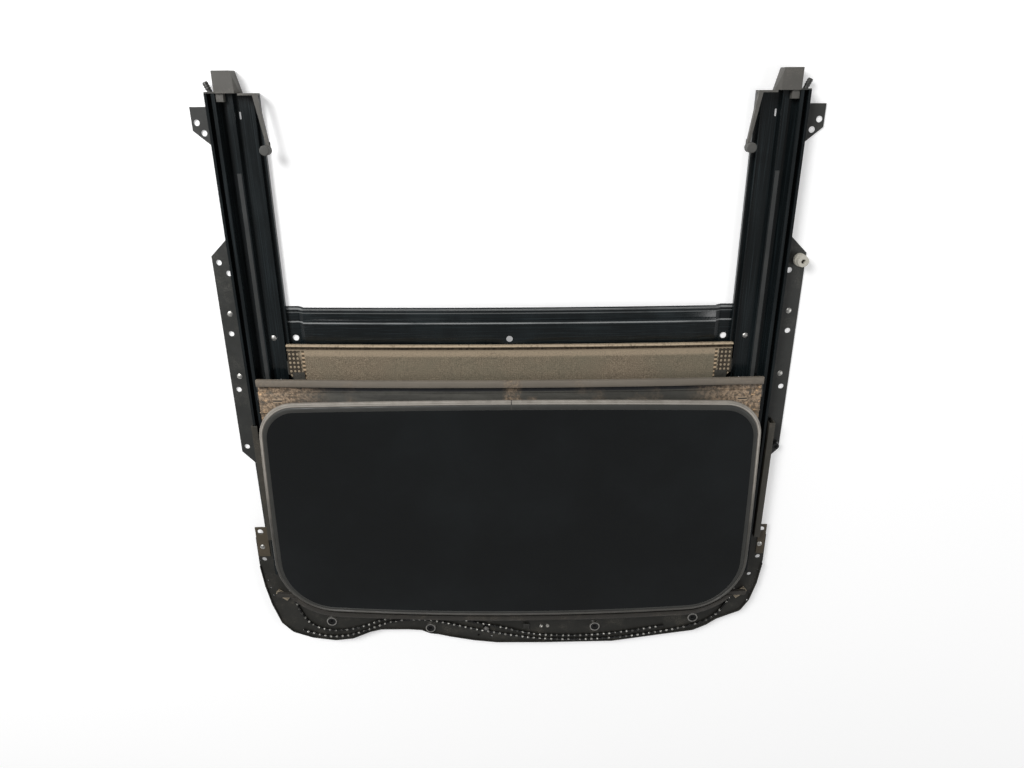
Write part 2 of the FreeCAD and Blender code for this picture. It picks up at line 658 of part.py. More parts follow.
def end_stop_arm():
    """The arm behind the rail's inner edge that holds the buffer out over the opening."""
    inner, outer = STOP_PLATE_X
    low_foot = RAIL_OUTER_X - INNER_RIB
    plate_y = (RAIL_REAR_Y - STOP_PLATE, RAIL_REAR_Y)
    clear = rail_base + INNER_RIB_HEIGHT + FITTING_FIT
    plate = box((inner, outer), plate_y, (clear, ARM_TOP))
    foot = box((low_foot + 0.4, outer), plate_y, (rail_floor, clear))
    tip = BUFFER_Y + BUFFER_R * 0.4
    plan = [
        (inner, RAIL_REAR_Y), (inner - ARM_LEAN - 1, tip), (inner - ARM_LEAN - 1, BUFFER_Y - BUFFER_R * 0.5),
        (BUFFER_X - 2, BUFFER_Y - BUFFER_R * 0.5), (BUFFER_X - 2, tip), (inner + ARM_WIDTH, RAIL_REAR_Y),
    ]
    arm = plan_solid(polygon_plan(plan), (ARM_LOW, ARM_TOP))
    arm = arm.cut(disc(BUFFER_X, BUFFER_Y, (ARM_LOW - 1, ARM_TOP + 1), BUFFER_R + FITTING_FIT))
    shelf = disc(BUFFER_X, BUFFER_Y, (ARM_LOW, ARM_LOW + 2), BUFFER_R * 0.7)
    peg_hole = disc(BUFFER_X, BUFFER_Y, (ARM_LOW - 1, ARM_TOP), BUFFER_R * 0.3 + FITTING_FIT)
    arm = arm.fuse([plate, foot])
    bridge = box((inner - ARM_LEAN - 1, BUFFER_X), (BUFFER_Y - 2, BUFFER_Y + BUFFER_R + 4), (ARM_LOW, ARM_LOW + 2))
    return arm.fuse([shelf, bridge]).cut(peg_hole).removeSplitter()


def stop_buffer():
    """A round rubber buffer on the arm's end."""
    buffer = disc(BUFFER_X, BUFFER_Y, (ARM_LOW + 2, BUFFER_TOP), BUFFER_R)
    rim = [edge for edge in buffer.Edges if abs(edge.BoundBox.ZMin - BUFFER_TOP) < 1e-6 and edge.Closed]
    buffer = buffer.makeFillet(1.5, rim)
    return buffer.fuse(disc(BUFFER_X, BUFFER_Y, (ARM_LOW, ARM_LOW + 2), BUFFER_R * 0.3)).removeSplitter()


def frame_outline():
    """The plan of the front frame: its hand-drawn front edge, ears and roof opening."""
    ear_inner = RAIL_OUTER_X + 0.4
    rear = RAIL_FRONT_Y - 0.2
    left = [(FRAME_OPENING_X, FRAME_OPENING_Y), (FRAME_OPENING_X, rear), (ear_inner, rear), (ear_inner, FRAME_EAR_Y),
            (FRAME_EAR_X, FRAME_EAR_Y)]
    points = left + list(FRAME_EDGE) + [(-x, y) for x, y in reversed(left)]
    ends = [FRAME_OPENING_R, FRAME_CORNER_R, 1.0, 1.0, FRAME_CORNER_R]
    radii = ends + [FRAME_BEND_R] * len(FRAME_EDGE) + ends[::-1]
    return rounded_plan(points, radii)


def front_frame():
    """A moulded tray: plate, skirt, raised rim, ribs beneath and holes for its fittings."""
    outline = frame_outline()
    plate = plan_solid(outline, (frame_low, FRAME_TOP))
    inner = Part.Wire(Part.Face(outline).makeOffset2D(-FRAME_SKIRT).Wires[0].Edges)
    ring = plan_solid(outline, (0, FRAME_TOP + FRAME_RIM)).cut(plan_solid(inner, (-1, FRAME_TOP + FRAME_RIM + 1)))
    keep_out = box((-PAD_X + 6, PAD_X - 6), (-430, -340), (FRAME_TOP, FRAME_TOP + FRAME_RIM + 1))
    ears = box((-FLANGE_OUTER_X, FLANGE_OUTER_X), (-340, -270), (FRAME_TOP, FRAME_TOP + FRAME_RIM + 1))
    rail_ends = box((-RAIL_OUTER_X - 4, RAIL_OUTER_X + 4), (-370, -340), (FRAME_TOP, FRAME_TOP + FRAME_RIM + 1))
    ring = ring.cut([keep_out, ears, rail_ends])
    frame = plate.fuse(ring)
    for x in FRAME_RIBS_X:
        rib = box((x - FRAME_RIB / 2, x + FRAME_RIB / 2), (-530, FRAME_OPENING_Y - 1), (1, frame_low + 0.5))
        frame = frame.fuse(rib.common(plan_solid(inner, (0, FRAME_TOP))))
    cuts = []
    for index in range(EDGE_HOLES):
        x = EDGE_HOLE_FIRST[0] + index * EDGE_HOLE_STEP[0]
        y = EDGE_HOLE_FIRST[1] + index * EDGE_HOLE_STEP[1]
        cuts += [disc(side * x, y, (-1, FRAME_TOP + 1), EDGE_HOLE_R) for side in (-1, 1)]
    cuts += [disc(x, y, (-1, FRAME_TOP + 1), radius) for x, y, radius in FRAME_HOLES]
    cuts += [disc(x, y, (-1, FRAME_TOP + 1), BUSH_SLEEVE_R + FITTING_FIT) for x, y in BUSHES]
    cuts += [disc(x, y, (-1, FRAME_TOP + 1), SCREW_R + FITTING_FIT) for x, y in SCREWS]
    cuts += [disc(side * SIDE_HOLE_X, SIDE_RIVET_Y, (-1, FRAME_TOP + 1), RIVET_R + FITTING_FIT) for side in (-1, 1)]
    cuts.append(disc(PINION_X, PINION_Y, (0, FRAME_TOP + 1), PINION_R + 1.5))
    motor_hole = box((PINION_X - CASE_HALF - MOTOR_CUT, MOTOR_END_X + MOTOR_CUT),
                     (CASE_STEP_Y - MOTOR_CUT, CASE_REAR_Y + MOTOR_CUT), (-1, FRAME_TOP + 1))
    cuts.append(motor_hole)
    cuts.append(Part.makeCylinder(PEG_R + FITTING_FIT, PEG_LENGTH, Vector(PEG_X, PEG_TIP_Y, PEG_Z), ALONG))
    return frame.cut(cuts).removeSplitter()


def side_plate(inner):
    """A steel plate riveted on the frame's ear, with a fixing hole past its end."""
    plate = box((inner, SIDE_PLATE_OUTER_X), SIDE_PLATE_Y, (FRAME_TOP, FRAME_TOP + SIDE_PLATE))
    plate = plate.cut(disc(SIDE_HOLE_X, SIDE_HOLE_Y, (0, FRAME_TOP + 5), SIDE_HOLE_R))
    return plate.cut(disc(SIDE_HOLE_X, SIDE_RIVET_Y, (0, FRAME_TOP + 5), RIVET_R + FITTING_FIT))


def frame_bush(x, y):
    """A rubber bush with a sleeve through the frame."""
    collar = disc(x, y, (FRAME_TOP, FRAME_TOP + BUSH_HEIGHT), BUSH_R - BUSH_RING)
    sleeve = disc(x, y, (BUSH_FLOOR, FRAME_TOP), BUSH_SLEEVE_R)
    recess = disc(x, y, (FRAME_TOP + BUSH_HEIGHT - 1.5, FRAME_TOP + BUSH_HEIGHT + 1), BUSH_R - BUSH_RING - 1.4)
    bore = disc(x, y, (0, FRAME_TOP + BUSH_HEIGHT + 1), BUSH_BORE_R)
    return collar.fuse(sleeve).cut([recess, bore]).removeSplitter()


def bush_ring(x, y):
    """The bright metal ring round a bush."""
    ring = disc(x, y, (FRAME_TOP, FRAME_TOP + BUSH_HEIGHT), BUSH_R)
    return ring.cut(disc(x, y, (0, FRAME_TOP + BUSH_HEIGHT + 1), BUSH_R - BUSH_RING))


def foam_pad(side, angle):
    """A foam block stuck on the frame's corner."""
    pad = box((-PAD_LENGTH / 2, PAD_LENGTH / 2), (-PAD_WIDTH / 2, PAD_WIDTH / 2), (FRAME_TOP, FRAME_TOP + PAD_HEIGHT))
    pad.rotate(ORIGIN, UP, angle)
    pad.translate(Vector(side * PAD_X, PAD_Y, 0))
    return pad


def locating_peg():
    """A peg that stands forward from the frame's skirt."""
    peg = Part.makeCylinder(PEG_R, PEG_LENGTH, Vector(PEG_X, PEG_TIP_Y, PEG_Z), ALONG)
    return peg.makeChamfer(1.0, [edge for edge in peg.Edges if edge.BoundBox.YMax < PEG_TIP_Y + 1e-6])


def adjuster_bush():
    """A pale height adjuster in the rear flange hole: collar, barrel and hexagon socket."""
    x, y = FLANGE_HOLES[0]
    body = disc(x, y, (SHEET, SHEET + ADJUSTER_HEIGHT), ADJUSTER_R * 0.86)
    body = body.fuse([disc(x, y, (SHEET, SHEET + 3), ADJUSTER_R), disc(x, y, (SHEET + 7, SHEET + 10), ADJUSTER_R)])
    corners = [Vector(x + ADJUSTER_SOCKET * math.cos(math.radians(60 * k)), y + ADJUSTER_SOCKET * math.sin(math.radians(60 * k)),
                      SHEET + 4) for k in range(7)]
    socket = Part.Face(Part.makePolygon(corners)).extrude(Vector(0, 0, ADJUSTER_HEIGHT))
    return body.fuse(disc(x, y, (0.3, SHEET), FLANGE_HOLE_R - FITTING_FIT)).cut(socket).removeSplitter()


def flange_knob():
    """A dark plug in the front flange hole."""
    x, y = FLANGE_HOLES[-1]
    head = Part.makeCone(KNOB_R, KNOB_R * 0.75, KNOB_HEIGHT, Vector(x, y, SHEET))
    head = head.cut(disc(x, y, (SHEET + KNOB_HEIGHT - 3, SHEET + KNOB_HEIGHT + 1), KNOB_R * 0.4))
    return head.fuse(disc(x, y, (0.3, SHEET), FLANGE_HOLE_R - FITTING_FIT)).removeSplitter()


def cable_cover(inner, outer):
    """An inverted channel over the cable beside the rail, standing on the flange."""
    y = (COVER_FRONT_Y, COVER_REAR_Y)
    on_rail = inner < RAIL_OUTER_X
    leg_x = RAIL_OUTER_X - 2 * COVER_WALL if on_rail else inner
    leg_low = rail_top if on_rail else SHEET
    top = box((inner, outer), y, (COVER_TOP - COVER_WALL, COVER_TOP))
    outer_wall = box((outer - COVER_WALL, outer), y, (SHEET, COVER_TOP))
    leg = box((leg_x, leg_x + COVER_WALL), y, (leg_low, COVER_TOP))
    return top.fuse([outer_wall, leg]).removeSplitter()


def mesh_points(side):
    """The ends of a cable's straight run past the pinion, on one side of it."""
    angle = math.radians(CABLE_MESH_ANGLE)
    run = Vector(math.cos(angle), math.sin(angle), 0)
    normal = Vector(-run.y, run.x, 0)
    middle = Vector(PINION_X, PINION_Y, 0) + normal * (side * CABLE_MESH)
    return middle - run * CABLE_MESH_RUN, middle + run * CABLE_MESH_RUN


def drive_cable(name, route):
    """A cable along its route: straight runs joined by tangent arcs."""
    points = [Vector(point[0], point[1], cable_z) for point in route]
    radii = corner_radii(points, CABLE_RADIUS_SHARE)
    path = Part.Wire(rounded_edges(points, radii))
    section = Part.Wire(Part.Circle(points[0], points[1] - points[0], CABLE_R).toShape())
    cable = path.makePipeShell([section], True, False)
    print(name, "length", round(path.Length, 1), "radii", [round(radius) for radius in radii],
          "volume ratio", round(cable.Volume / (path.Length * math.pi * CABLE_R ** 2), 4))
    return cable


def drive_pinion():
    """A small toothed pinion on its shaft, between the two cables."""
    tip, root = PINION_R, PINION_ROOT_R
    pitch = 360 / PINION_TEETH
    points = []
    for tooth in range(PINION_TEETH):
        for share, radius in ((-0.32, root), (-0.14, tip), (0.14, tip), (0.32, root)):
            angle = math.radians((tooth + share) * pitch)
            points.append((PINION_X + radius * math.cos(angle), PINION_Y + radius * math.sin(angle)))
    gear = plan_solid(polygon_plan(points), (FRAME_TOP + 0.3, FRAME_TOP + 0.3 + PINION_HEIGHT))
    shaft = disc(PINION_X, PINION_Y, (CASE_LOW + 1.5, FRAME_TOP + PINION_HEIGHT + 1.5), SHAFT_R)
    return gear.fuse(shaft).removeSplitter()


def motor_housing():
    """The gear case: a flat nose under the frame, a worm housing behind it and a brace."""
    x = (PINION_X - CASE_HALF, PINION_X + CASE_HALF)
    nose = [(x[0] + 6, CASE_FRONT_Y), (x[1] - 6, CASE_FRONT_Y), (x[1], CASE_STEP_Y - 1), (x[1], CASE_REAR_Y),
            (x[0], CASE_REAR_Y), (x[0], CASE_STEP_Y - 1)]
    radii = [CASE_CORNER_R, CASE_CORNER_R, 1.0, CASE_CORNER_R, CASE_CORNER_R, 1.0]
    low = plan_solid(rounded_plan(nose, radii), (CASE_LOW, frame_low - 0.2))
    worm = rounded_plan([(x[0], CASE_STEP_Y), (x[1], CASE_STEP_Y), (x[1], CASE_REAR_Y), (x[0], CASE_REAR_Y)], [CASE_CORNER_R] * 4)
    high = plan_solid(worm, (CASE_LOW, CASE_TOP))
    high = high.makeChamfer(2.5, [edge for edge in high.Edges if edge.BoundBox.ZMin > CASE_TOP - 1e-6])
    brace = box((x[1] - CASE_CORNER_R, BRACE_END_X), BRACE_Y, (CASE_LOW, frame_low - 0.2))
    case = low.fuse([high, brace])
    case = case.cut(disc(PINION_X, PINION_Y, (CASE_LOW + 1.5, frame_low), SHAFT_R + RUNNING_FIT))
    for sx, sy in SCREWS:
        case = case.cut(disc(sx, sy, (frame_low - SCREW_DEPTH, frame_low), SCREW_R + FITTING_FIT))
    return case.removeSplitter()


def motor_can():
    """The motor's drawn steel can with a stepped end."""
    z = CASE_LOW + MOTOR_R
    start = PINION_X + CASE_HALF
    can = pin_across((start, MOTOR_END_X - 6), MOTOR_Y, z, MOTOR_R)
    neck = pin_across((MOTOR_END_X - 6, MOTOR_END_X), MOTOR_Y, z, MOTOR_R * 0.45)
    return can.fuse(neck).removeSplitter()


def screw(x, y):
    """A pan-head screw from the frame's top into the gear case."""
    head = disc(x, y, (FRAME_TOP, FRAME_TOP + SCREW_HEAD), SCREW_HEAD_R)
    head = head.makeFillet(1.0, [edge for edge in head.Edges if edge.BoundBox.ZMin > FRAME_TOP + 1 and edge.Closed])
    head = head.cut(disc(x, y, (FRAME_TOP + 1.2, FRAME_TOP + SCREW_HEAD + 1), 1.5))
    return head.fuse(disc(x, y, (frame_low - SCREW_DEPTH + 1, FRAME_TOP), SCREW_R)).removeSplitter()


def frame_clip():
    """A small dark clip beside the motor screws."""
    half = CLIP_SIZE / 2
    clip = box((CLIP_X - half, CLIP_X + half), (CLIP_Y - half, CLIP_Y + half), (FRAME_TOP, FRAME_TOP + CLIP_HEIGHT))
    return clip.makeChamfer(1.5, [edge for edge in clip.Edges if edge.BoundBox.ZMin > FRAME_TOP + CLIP_HEIGHT - 1e-6])


def carriage():
    """The carriage in the rail: two shoes on a bar, hinge ear, lever ear, post and drive lug."""
    inner, outer = guide_inner_x + CARRIAGE_GAP, guide_outer_x - CARRIAGE_GAP
    low = rail_floor + CARRIAGE_FLOOR_GAP
    top = low + CARRIAGE_HEIGHT
    cheek = (inner, inner + CARRIAGE_CHEEK)
    body = box((inner + WAIST_NARROW, outer - WAIST_NARROW), (CARRIAGE_FRONT_Y, CARRIAGE_REAR_Y), (low, top))
    for y in (CARRIAGE_FRONT_Y, LEVER_Y - SHOE_LENGTH / 2, CARRIAGE_REAR_Y - SHOE_LENGTH):
        body = body.fuse(box((inner, outer), (y, y + SHOE_LENGTH), (low, top)))
    for y, z in ((HINGE_Y, HINGE_Z), (LEVER_Y, LEVER_Z)):
        body = body.fuse(box(cheek, (y - EAR_R, y + EAR_R), (top, z)))
        body = body.fuse(pin_across(cheek, y, z, EAR_R))
    body = body.fuse(pin_across((GLASS_BRACKET_X[0], inner + 1), HINGE_Y, HINGE_Z, PIN_R))
    body = body.fuse(pin_across((LEVER_INNER_X, inner + 1), LEVER_Y, LEVER_Z, PIN_R))
    post_x = (inner, outer - DRIVE_RIB_LIP - CARRIAGE_GAP)
    post = box(post_x, (CARRIAGE_REAR_Y - POST_LENGTH, CARRIAGE_REAR_Y), (top, GUTTER_LEVEL))
    over_post = (CARRIAGE_REAR_Y - POST_LENGTH - TRIM, CARRIAGE_REAR_Y + TRIM)
    over_groove = (groove_front_y - GUTTER_SHEET - SEAT_GAP, CARRIAGE_REAR_Y + TRIM)
    post = post.cut(crown_slab(over_post, (GUTTER_LEVEL, GUTTER_LEVEL + TRIM), crown_half))
    post = post.cut(crown_slab(over_groove, (groove_low - SEAT_GAP, GUTTER_LEVEL + TRIM), crown_half))
    lug_y = (LUG_FRONT_Y, LUG_FRONT_Y + LUG_LENGTH)
    rib_top = rail_top - DRIVE_RIB_DROP + CARRIAGE_FLOOR_GAP
    stem = box((inner + WAIST_NARROW, post_x[1]), lug_y, (top, LUG_TOP))
    bridge = box((inner + WAIST_NARROW, drive_channel_x + LUG_HALF), lug_y, (rib_top, LUG_TOP))
    drop = box((drive_channel_x - LUG_HALF, drive_channel_x + LUG_HALF), lug_y, (cable_z - CABLE_R, LUG_TOP))
    return body.fuse([post, stem, bridge, drop]).removeSplitter()


def rear_gutter():
    """The drain gutter across the car behind the glass, with a raised strip and a groove at its rear edge."""
    low = GUTTER_LEVEL
    sheet = GUTTER_SHEET
    section = [
        (GUTTER_REAR_Y, low), (GUTTER_REAR_Y, low + GUTTER_STEP + sheet),
        (strip_front_y, low + GUTTER_STEP + sheet), (strip_front_y, groove_low + sheet),
        (groove_front_y, groove_low + sheet), (groove_front_y, low + sheet), (GUTTER_FRONT_Y + sheet, low + sheet),
        (GUTTER_FRONT_Y + sheet, low + GUTTER_STEP), (GUTTER_FRONT_Y, low + GUTTER_STEP), (GUTTER_FRONT_Y, low),
        (groove_front_y - sheet, low), (groove_front_y - sheet, groove_low), (strip_front_y + sheet, groove_low),
        (strip_front_y + sheet, low + GUTTER_STEP), (GUTTER_REAR_Y - sheet, low + GUTTER_STEP),
        (GUTTER_REAR_Y - sheet, low),
    ]
    gutter = crowned(section, crown_half)
    return gutter.common(box((-gutter_half, gutter_half), (GUTTER_FRONT_Y - TRIM, GUTTER_REAR_Y + TRIM), all_heights))


def gutter_end():
    """A corner piece that closes the gutter's end beside the glass."""
    low = GUTTER_LEVEL
    y = (GUTTER_END_FRONT_Y, GUTTER_FRONT_Y)
    piece = crown_slab(y, (low, low + GUTTER_SHEET), crown_half)
    return piece.common(box((gutter_half - GUTTER_END_WIDTH, gutter_half), y, all_heights))


def glass_sides():
    """The circles of the glass's four bowed sides, with the corner that each starts from."""
    rear, front = GLASS_REAR_Y - GLASS_REAR_BOW, GLASS_FRONT_Y + GLASS_FRONT_BOW
    corners = [Vector(-glass_rear_half, rear, 0), Vector(glass_rear_half, rear, 0),
               Vector(glass_front_half, front, 0), Vector(-glass_front_half, front, 0)]
    side_x = (glass_rear_half + glass_front_half) / 2 + GLASS_SIDE_BOW
    side_y = (rear + front) / 2
    bows = [Vector(0, GLASS_REAR_Y, 0), Vector(side_x, side_y, 0), Vector(0, GLASS_FRONT_Y, 0), Vector(-side_x, side_y, 0)]
    ends = corners[1:] + corners[:1]
    circles = [Part.Circle(start, bow, end) for start, bow, end in zip(corners, bows, ends)]
    return circles, corners


def toward(start, end, reach):
    """The point at a distance from a start, on the way to an end."""
    return start + (end - start).normalize() * reach


def corner_centre(first, second, radius, corner):
    """The centre of a corner arc that touches two side circles from within."""
    apart = (second.Center - first.Center).Length
    first_reach, second_reach = first.Radius - radius, second.Radius - radius
    along = (apart ** 2 + first_reach ** 2 - second_reach ** 2) / (2 * apart)
    aside = math.sqrt(first_reach ** 2 - along ** 2)
    foot = toward(first.Center, second.Center, along)
    turned = UP.cross(second.Center - first.Center).normalize() * aside
    return min((foot + turned, foot - turned), key=lambda point: (point - corner).Length)


def glass_plan(grown):
    """The glass's outline with rounded corners, grown outward by a distance, or drawn in."""
    circles, corners = glass_sides()
    radii = [GLASS_REAR_R, GLASS_REAR_R, GLASS_FRONT_R, GLASS_FRONT_R]
    centres = [corner_centre(circles[k - 1], circles[k], radii[k], corners[k]) for k in range(4)]
    edges = []
    for k, circle in enumerate(circles):
        after = (k + 1) % 4
        reach = circle.Radius + grown
        start = toward(circle.Center, centres[k], reach)
        end = toward(circle.Center, centres[after], reach)
        edges.append(Part.Arc(start, toward(circle.Center, (start + end) * 0.5, reach), end).toShape())
        bend = toward(centres[after], corners[after], radii[after] + grown)
        next_circle = circles[after]
        edges.append(Part.Arc(end, bend, toward(next_circle.Center, centres[after], next_circle.Radius + grown)).toShape())
    return Part.Wire(edges)


def glass_block(grown, z):
    """The glass's outline, grown by a distance and raised between heights."""
    return plan_solid(glass_plan(grown), z)


def pane_block(gap, z):
    """The pane's outline inside its seal, which is wider at the rear than at the front."""
    block = glass_block(-SEAL_WIDTH - gap, z)
    block.translate(Vector(0, -PANE_AHEAD, 0))
    return block


def glass_pane():
    """The crowned pane inside its seal."""
    levels = (GLASS_LEVEL, GLASS_LEVEL + GLASS_THICKNESS)
    slab = crown_slab((GLASS_FRONT_Y - TRIM, GLASS_REAR_Y + TRIM), levels, crown_half)
    return slab.common(pane_block(SEAT_GAP, all_heights))


def glass_seal():
    """The moulded seal round the pane."""
    levels = (GLASS_LEVEL - SEAL_DROP, GLASS_LEVEL + GLASS_THICKNESS + SEAL_PROUD)
    slab = crown_slab((GLASS_FRONT_Y - TRIM, GLASS_REAR_Y + TRIM), levels, crown_half)
    return slab.common(glass_block(0, all_heights).cut(pane_block(0, past_heights)))


def glass_bracket():
    """A steel rail under the glass: hinge boss at the front, a slot for the lever at the rear."""
    x = GLASS_BRACKET_X
    top = GLASS_LEVEL - SEAT_GAP
    web_low = crown_height(GLASS_LEVEL, x[1]) - GLASS_BRACKET_WEB
    body = box(x, (bracket_front_y, bracket_rear_y), (web_low, top))
    body = body.fuse(box(x, (HINGE_Y - GLASS_BOSS_R, HINGE_Y + GLASS_BOSS_R), (HINGE_Z, top)))
    body = body.fuse(pin_across(x, HINGE_Y, HINGE_Z, GLASS_BOSS_R))
    slot_half = LEVER_PIN_R + SLOT_CLEARANCE
    slot_y = (LEVER_PIN_Y - SLOT_FRONT, LEVER_PIN_Y + SLOT_REAR)
    wall = 3.0
    body = body.fuse(box(x, (slot_y[0] - slot_half - wall, slot_y[1] + slot_half + wall), (LEVER_PIN_Z - slot_half - wall, top)))
    for y in glass_screws_y:
        tab = box((BRACKET_TAB_X, x[1]), (y - BRACKET_TAB_WIDTH / 2, y + BRACKET_TAB_WIDTH / 2), (0, top))
        tab = tab.common(crown_slab((y - BRACKET_TAB_WIDTH, y + BRACKET_TAB_WIDTH), (top - BRACKET_TAB, top), crown_half))
        body = body.fuse(tab)
    slot_cut = box((x[0] - 1, x[1] + 1), slot_y, (LEVER_PIN_Z - slot_half, LEVER_PIN_Z + slot_half))
    cuts = [slot_cut, pin_across((x[0] - 1, x[1] + 1), HINGE_Y, HINGE_Z, PIN_R + RUNNING_FIT)]
    cuts += [pin_across((x[0] - 1, x[1] + 1), y, LEVER_PIN_Z, slot_half) for y in slot_y]
    cuts.append(crown_slab((bracket_front_y - TRIM, bracket_rear_y + TRIM), (top, top + TRIM), crown_half))
    return body.cut(cuts).removeSplitter()


def lift_lever():
    """The lever that lifts the glass's rear: hub on the carriage, pin in the bracket's slot."""
    x = (LEVER_INNER_X, LEVER_INNER_X + LEVER_THICKNESS)
    pin_x = (GLASS_BRACKET_X[0] + 1, x[0] + 1)
    reach = Vector(0, LEVER_PIN_Y - LEVER_Y, LEVER_PIN_Z - LEVER_Z)
    across = Vector(0, -reach.z, reach.y).normalize()
    hub, eye = Vector(x[0], LEVER_Y, LEVER_Z), Vector(x[0], LEVER_PIN_Y, LEVER_PIN_Z)
    corners = [hub + across * LEVER_HUB_R * 0.8, eye + across * LEVER_EYE_R * 0.9, eye - across * LEVER_EYE_R * 0.9,
               hub - across * LEVER_HUB_R * 0.8]
    web = Part.Face(Part.makePolygon(corners + corners[:1])).extrude(Vector(LEVER_THICKNESS, 0, 0))
    lever = web.fuse([pin_across(x, LEVER_Y, LEVER_Z, LEVER_HUB_R), pin_across(x, LEVER_PIN_Y, LEVER_PIN_Z, LEVER_EYE_R)])
    lever = lever.cut(pin_across((x[0] - 1, x[1] + 1), LEVER_Y, LEVER_Z, PIN_R + RUNNING_FIT))
    return lever.fuse(pin_across(pin_x, LEVER_PIN_Y, LEVER_PIN_Z, LEVER_PIN_R)).removeSplitter()


def shade_plan(z):
    """The sunshade's outline: wider behind its waist."""
    half = [(SHADE_HALF, SHADE_REAR_Y), (SHADE_HALF, SHADE_WAIST_Y), (SHADE_FRONT_HALF, SHADE_WAIST_Y - 8),
            (SHADE_FRONT_HALF, SHADE_FRONT_Y)]
    points = half + [(-x, y) for x, y in reversed(half)]
    corner = SHADE_CORNER_R
    radii = [corner, 2.0, 2.0, corner, corner, 2.0, 2.0, corner]
    return plan_solid(rounded_plan(points, radii), z)


def sunshade_panel():
    """The crowned shade with three round moulded marks near its rear edge."""
    rear = SHADE_REAR_Y - SHADE_LIP_WIDTH
    slab = crown_slab((SHADE_FRONT_Y - TRIM, rear), (SHADE_LEVEL, SHADE_LEVEL + SHADE_THICKNESS), crown_half)
    panel = slab.common(shade_plan(all_heights))
    top = SHADE_LEVEL + SHADE_THICKNESS
    for x in MARK_X:
        ring = disc(x, MARK_Y, (top - MARK_DEPTH, top + 2), MARK_R).cut(disc(x, MARK_Y, (0, top + 3), MARK_R - 1.2))
        panel = panel.cut(ring)
    return panel


def shade_lip():
    """The rolled handle lip along the shade's rear edge."""
    low = SHADE_LEVEL - SHADE_LIP_DROP
    top = low + SHADE_THICKNESS + SHADE_LIP_HEIGHT
    rear, front = SHADE_REAR_Y, SHADE_REAR_Y - SHADE_LIP_WIDTH
    section = [(front, low), (rear - 2, low), (rear, low + 2), (rear, top - 2.5), (rear - 2.5, top), (front + 2.5, top),
               (front, top - 2.5)]
    return crowned(section, crown_half).common(shade_plan(all_heights))


def shade_shoe(y):
    """A sliding shoe under the shade's edge, with its foot in the rail's inner groove."""
    span = (y - SHOE_SIZE / 2, y + SHOE_SIZE / 2)
    groove = (rail_inner_x + RAIL_WALL + 0.6, RAIL_OUTER_X - INNER_RIB - RAIL_WALL - 0.6)
    low = rail_base + INNER_LIP_HEIGHT + 0.5
    arm = box((SHOE_INNER_X, groove[1]), span, (low, SHADE_LEVEL + TRIM))
    over = (span[0] - TRIM, span[1] + TRIM)
    arm = arm.cut(crown_slab(over, (SHADE_LEVEL, SHADE_LEVEL + 2 * TRIM), crown_half))
    foot = box(groove, span, (rail_floor + CARRIAGE_FLOOR_GAP, low))
    return arm.fuse(foot).removeSplitter()


def shade_clip():
    """A slider clip on the shade near its edge, with a rivet head."""
    x, y, width, length = CLIP_PLATE
    top = SHADE_LEVEL + SHADE_THICKNESS
    span = (y - length / 2, y + length / 2)
    plate = crown_slab(span, (top, top + CLIP_PLATE_HEIGHT), crown_half)
    plate = plate.common(box((x - width / 2, x + width / 2), span, all_heights))
    z = crown_height(top, x)
    return plate.fuse(disc(x, y, (z + 1, z + CLIP_PLATE_HEIGHT + 0.6), 3.4)).removeSplitter()


def deflector_bar():
    """The deflector's bar: it follows the glass's front edge and its corners, with the roof's crown."""
    ring = glass_block(DEFLECTOR_GAP + DEFLECTOR_WIDTH, all_heights).cut(glass_block(DEFLECTOR_GAP, past_heights))
    ring.translate(Vector(0, -DEFLECTOR_AHEAD, 0))
    ring_front_y = GLASS_FRONT_Y - DEFLECTOR_GAP - DEFLECTOR_WIDTH - DEFLECTOR_AHEAD
    levels = (DEFLECTOR_LEVEL, DEFLECTOR_LEVEL + DEFLECTOR_HEIGHT)
    return crown_slab((ring_front_y - TRIM, DEFLECTOR_BACK_Y), levels, crown_half).common(ring)


def deflector_arm():
    """The arm from the bar's end back to its pivot on the rail."""
    x = DEFLECTOR_ARM_X
    low = crown_height(DEFLECTOR_LEVEL, RAIL_OUTER_X - GUIDE_END)
    front_y = DEFLECTOR_BACK_Y
    depth = DEFLECTOR_ARM_DEPTH
    points = [Vector(x[0], DEFLECTOR_PIVOT_Y, DEFLECTOR_PIVOT_Z - depth / 2), Vector(x[0], DEFLECTOR_PIVOT_Y, DEFLECTOR_PIVOT_Z + depth / 2),
              Vector(x[0], front_y, low + depth), Vector(x[0], front_y, low)]
    arm = Part.Face(Part.makePolygon(points + points[:1])).extrude(Vector(x[1] - x[0], 0, 0))
    arm = arm.fuse(pin_across(x, DEFLECTOR_PIVOT_Y, DEFLECTOR_PIVOT_Z, DEFLECTOR_EYE_R))
    tie = box((x[0], RAIL_OUTER_X), (front_y, front_y + 8), (low, low + depth))
    top = DEFLECTOR_LEVEL + DEFLECTOR_HEIGHT
    tie = tie.cut(crown_slab((front_y - TRIM, front_y + TRIM), (top, top + TRIM), crown_half))
    arm = arm.fuse(tie)
    return arm.cut(pin_across((x[0] - 1, x[1] + 1), DEFLECTOR_PIVOT_Y, DEFLECTOR_PIVOT_Z, DEFLECTOR_PIN_R + RUNNING_FIT)).removeSplitter()


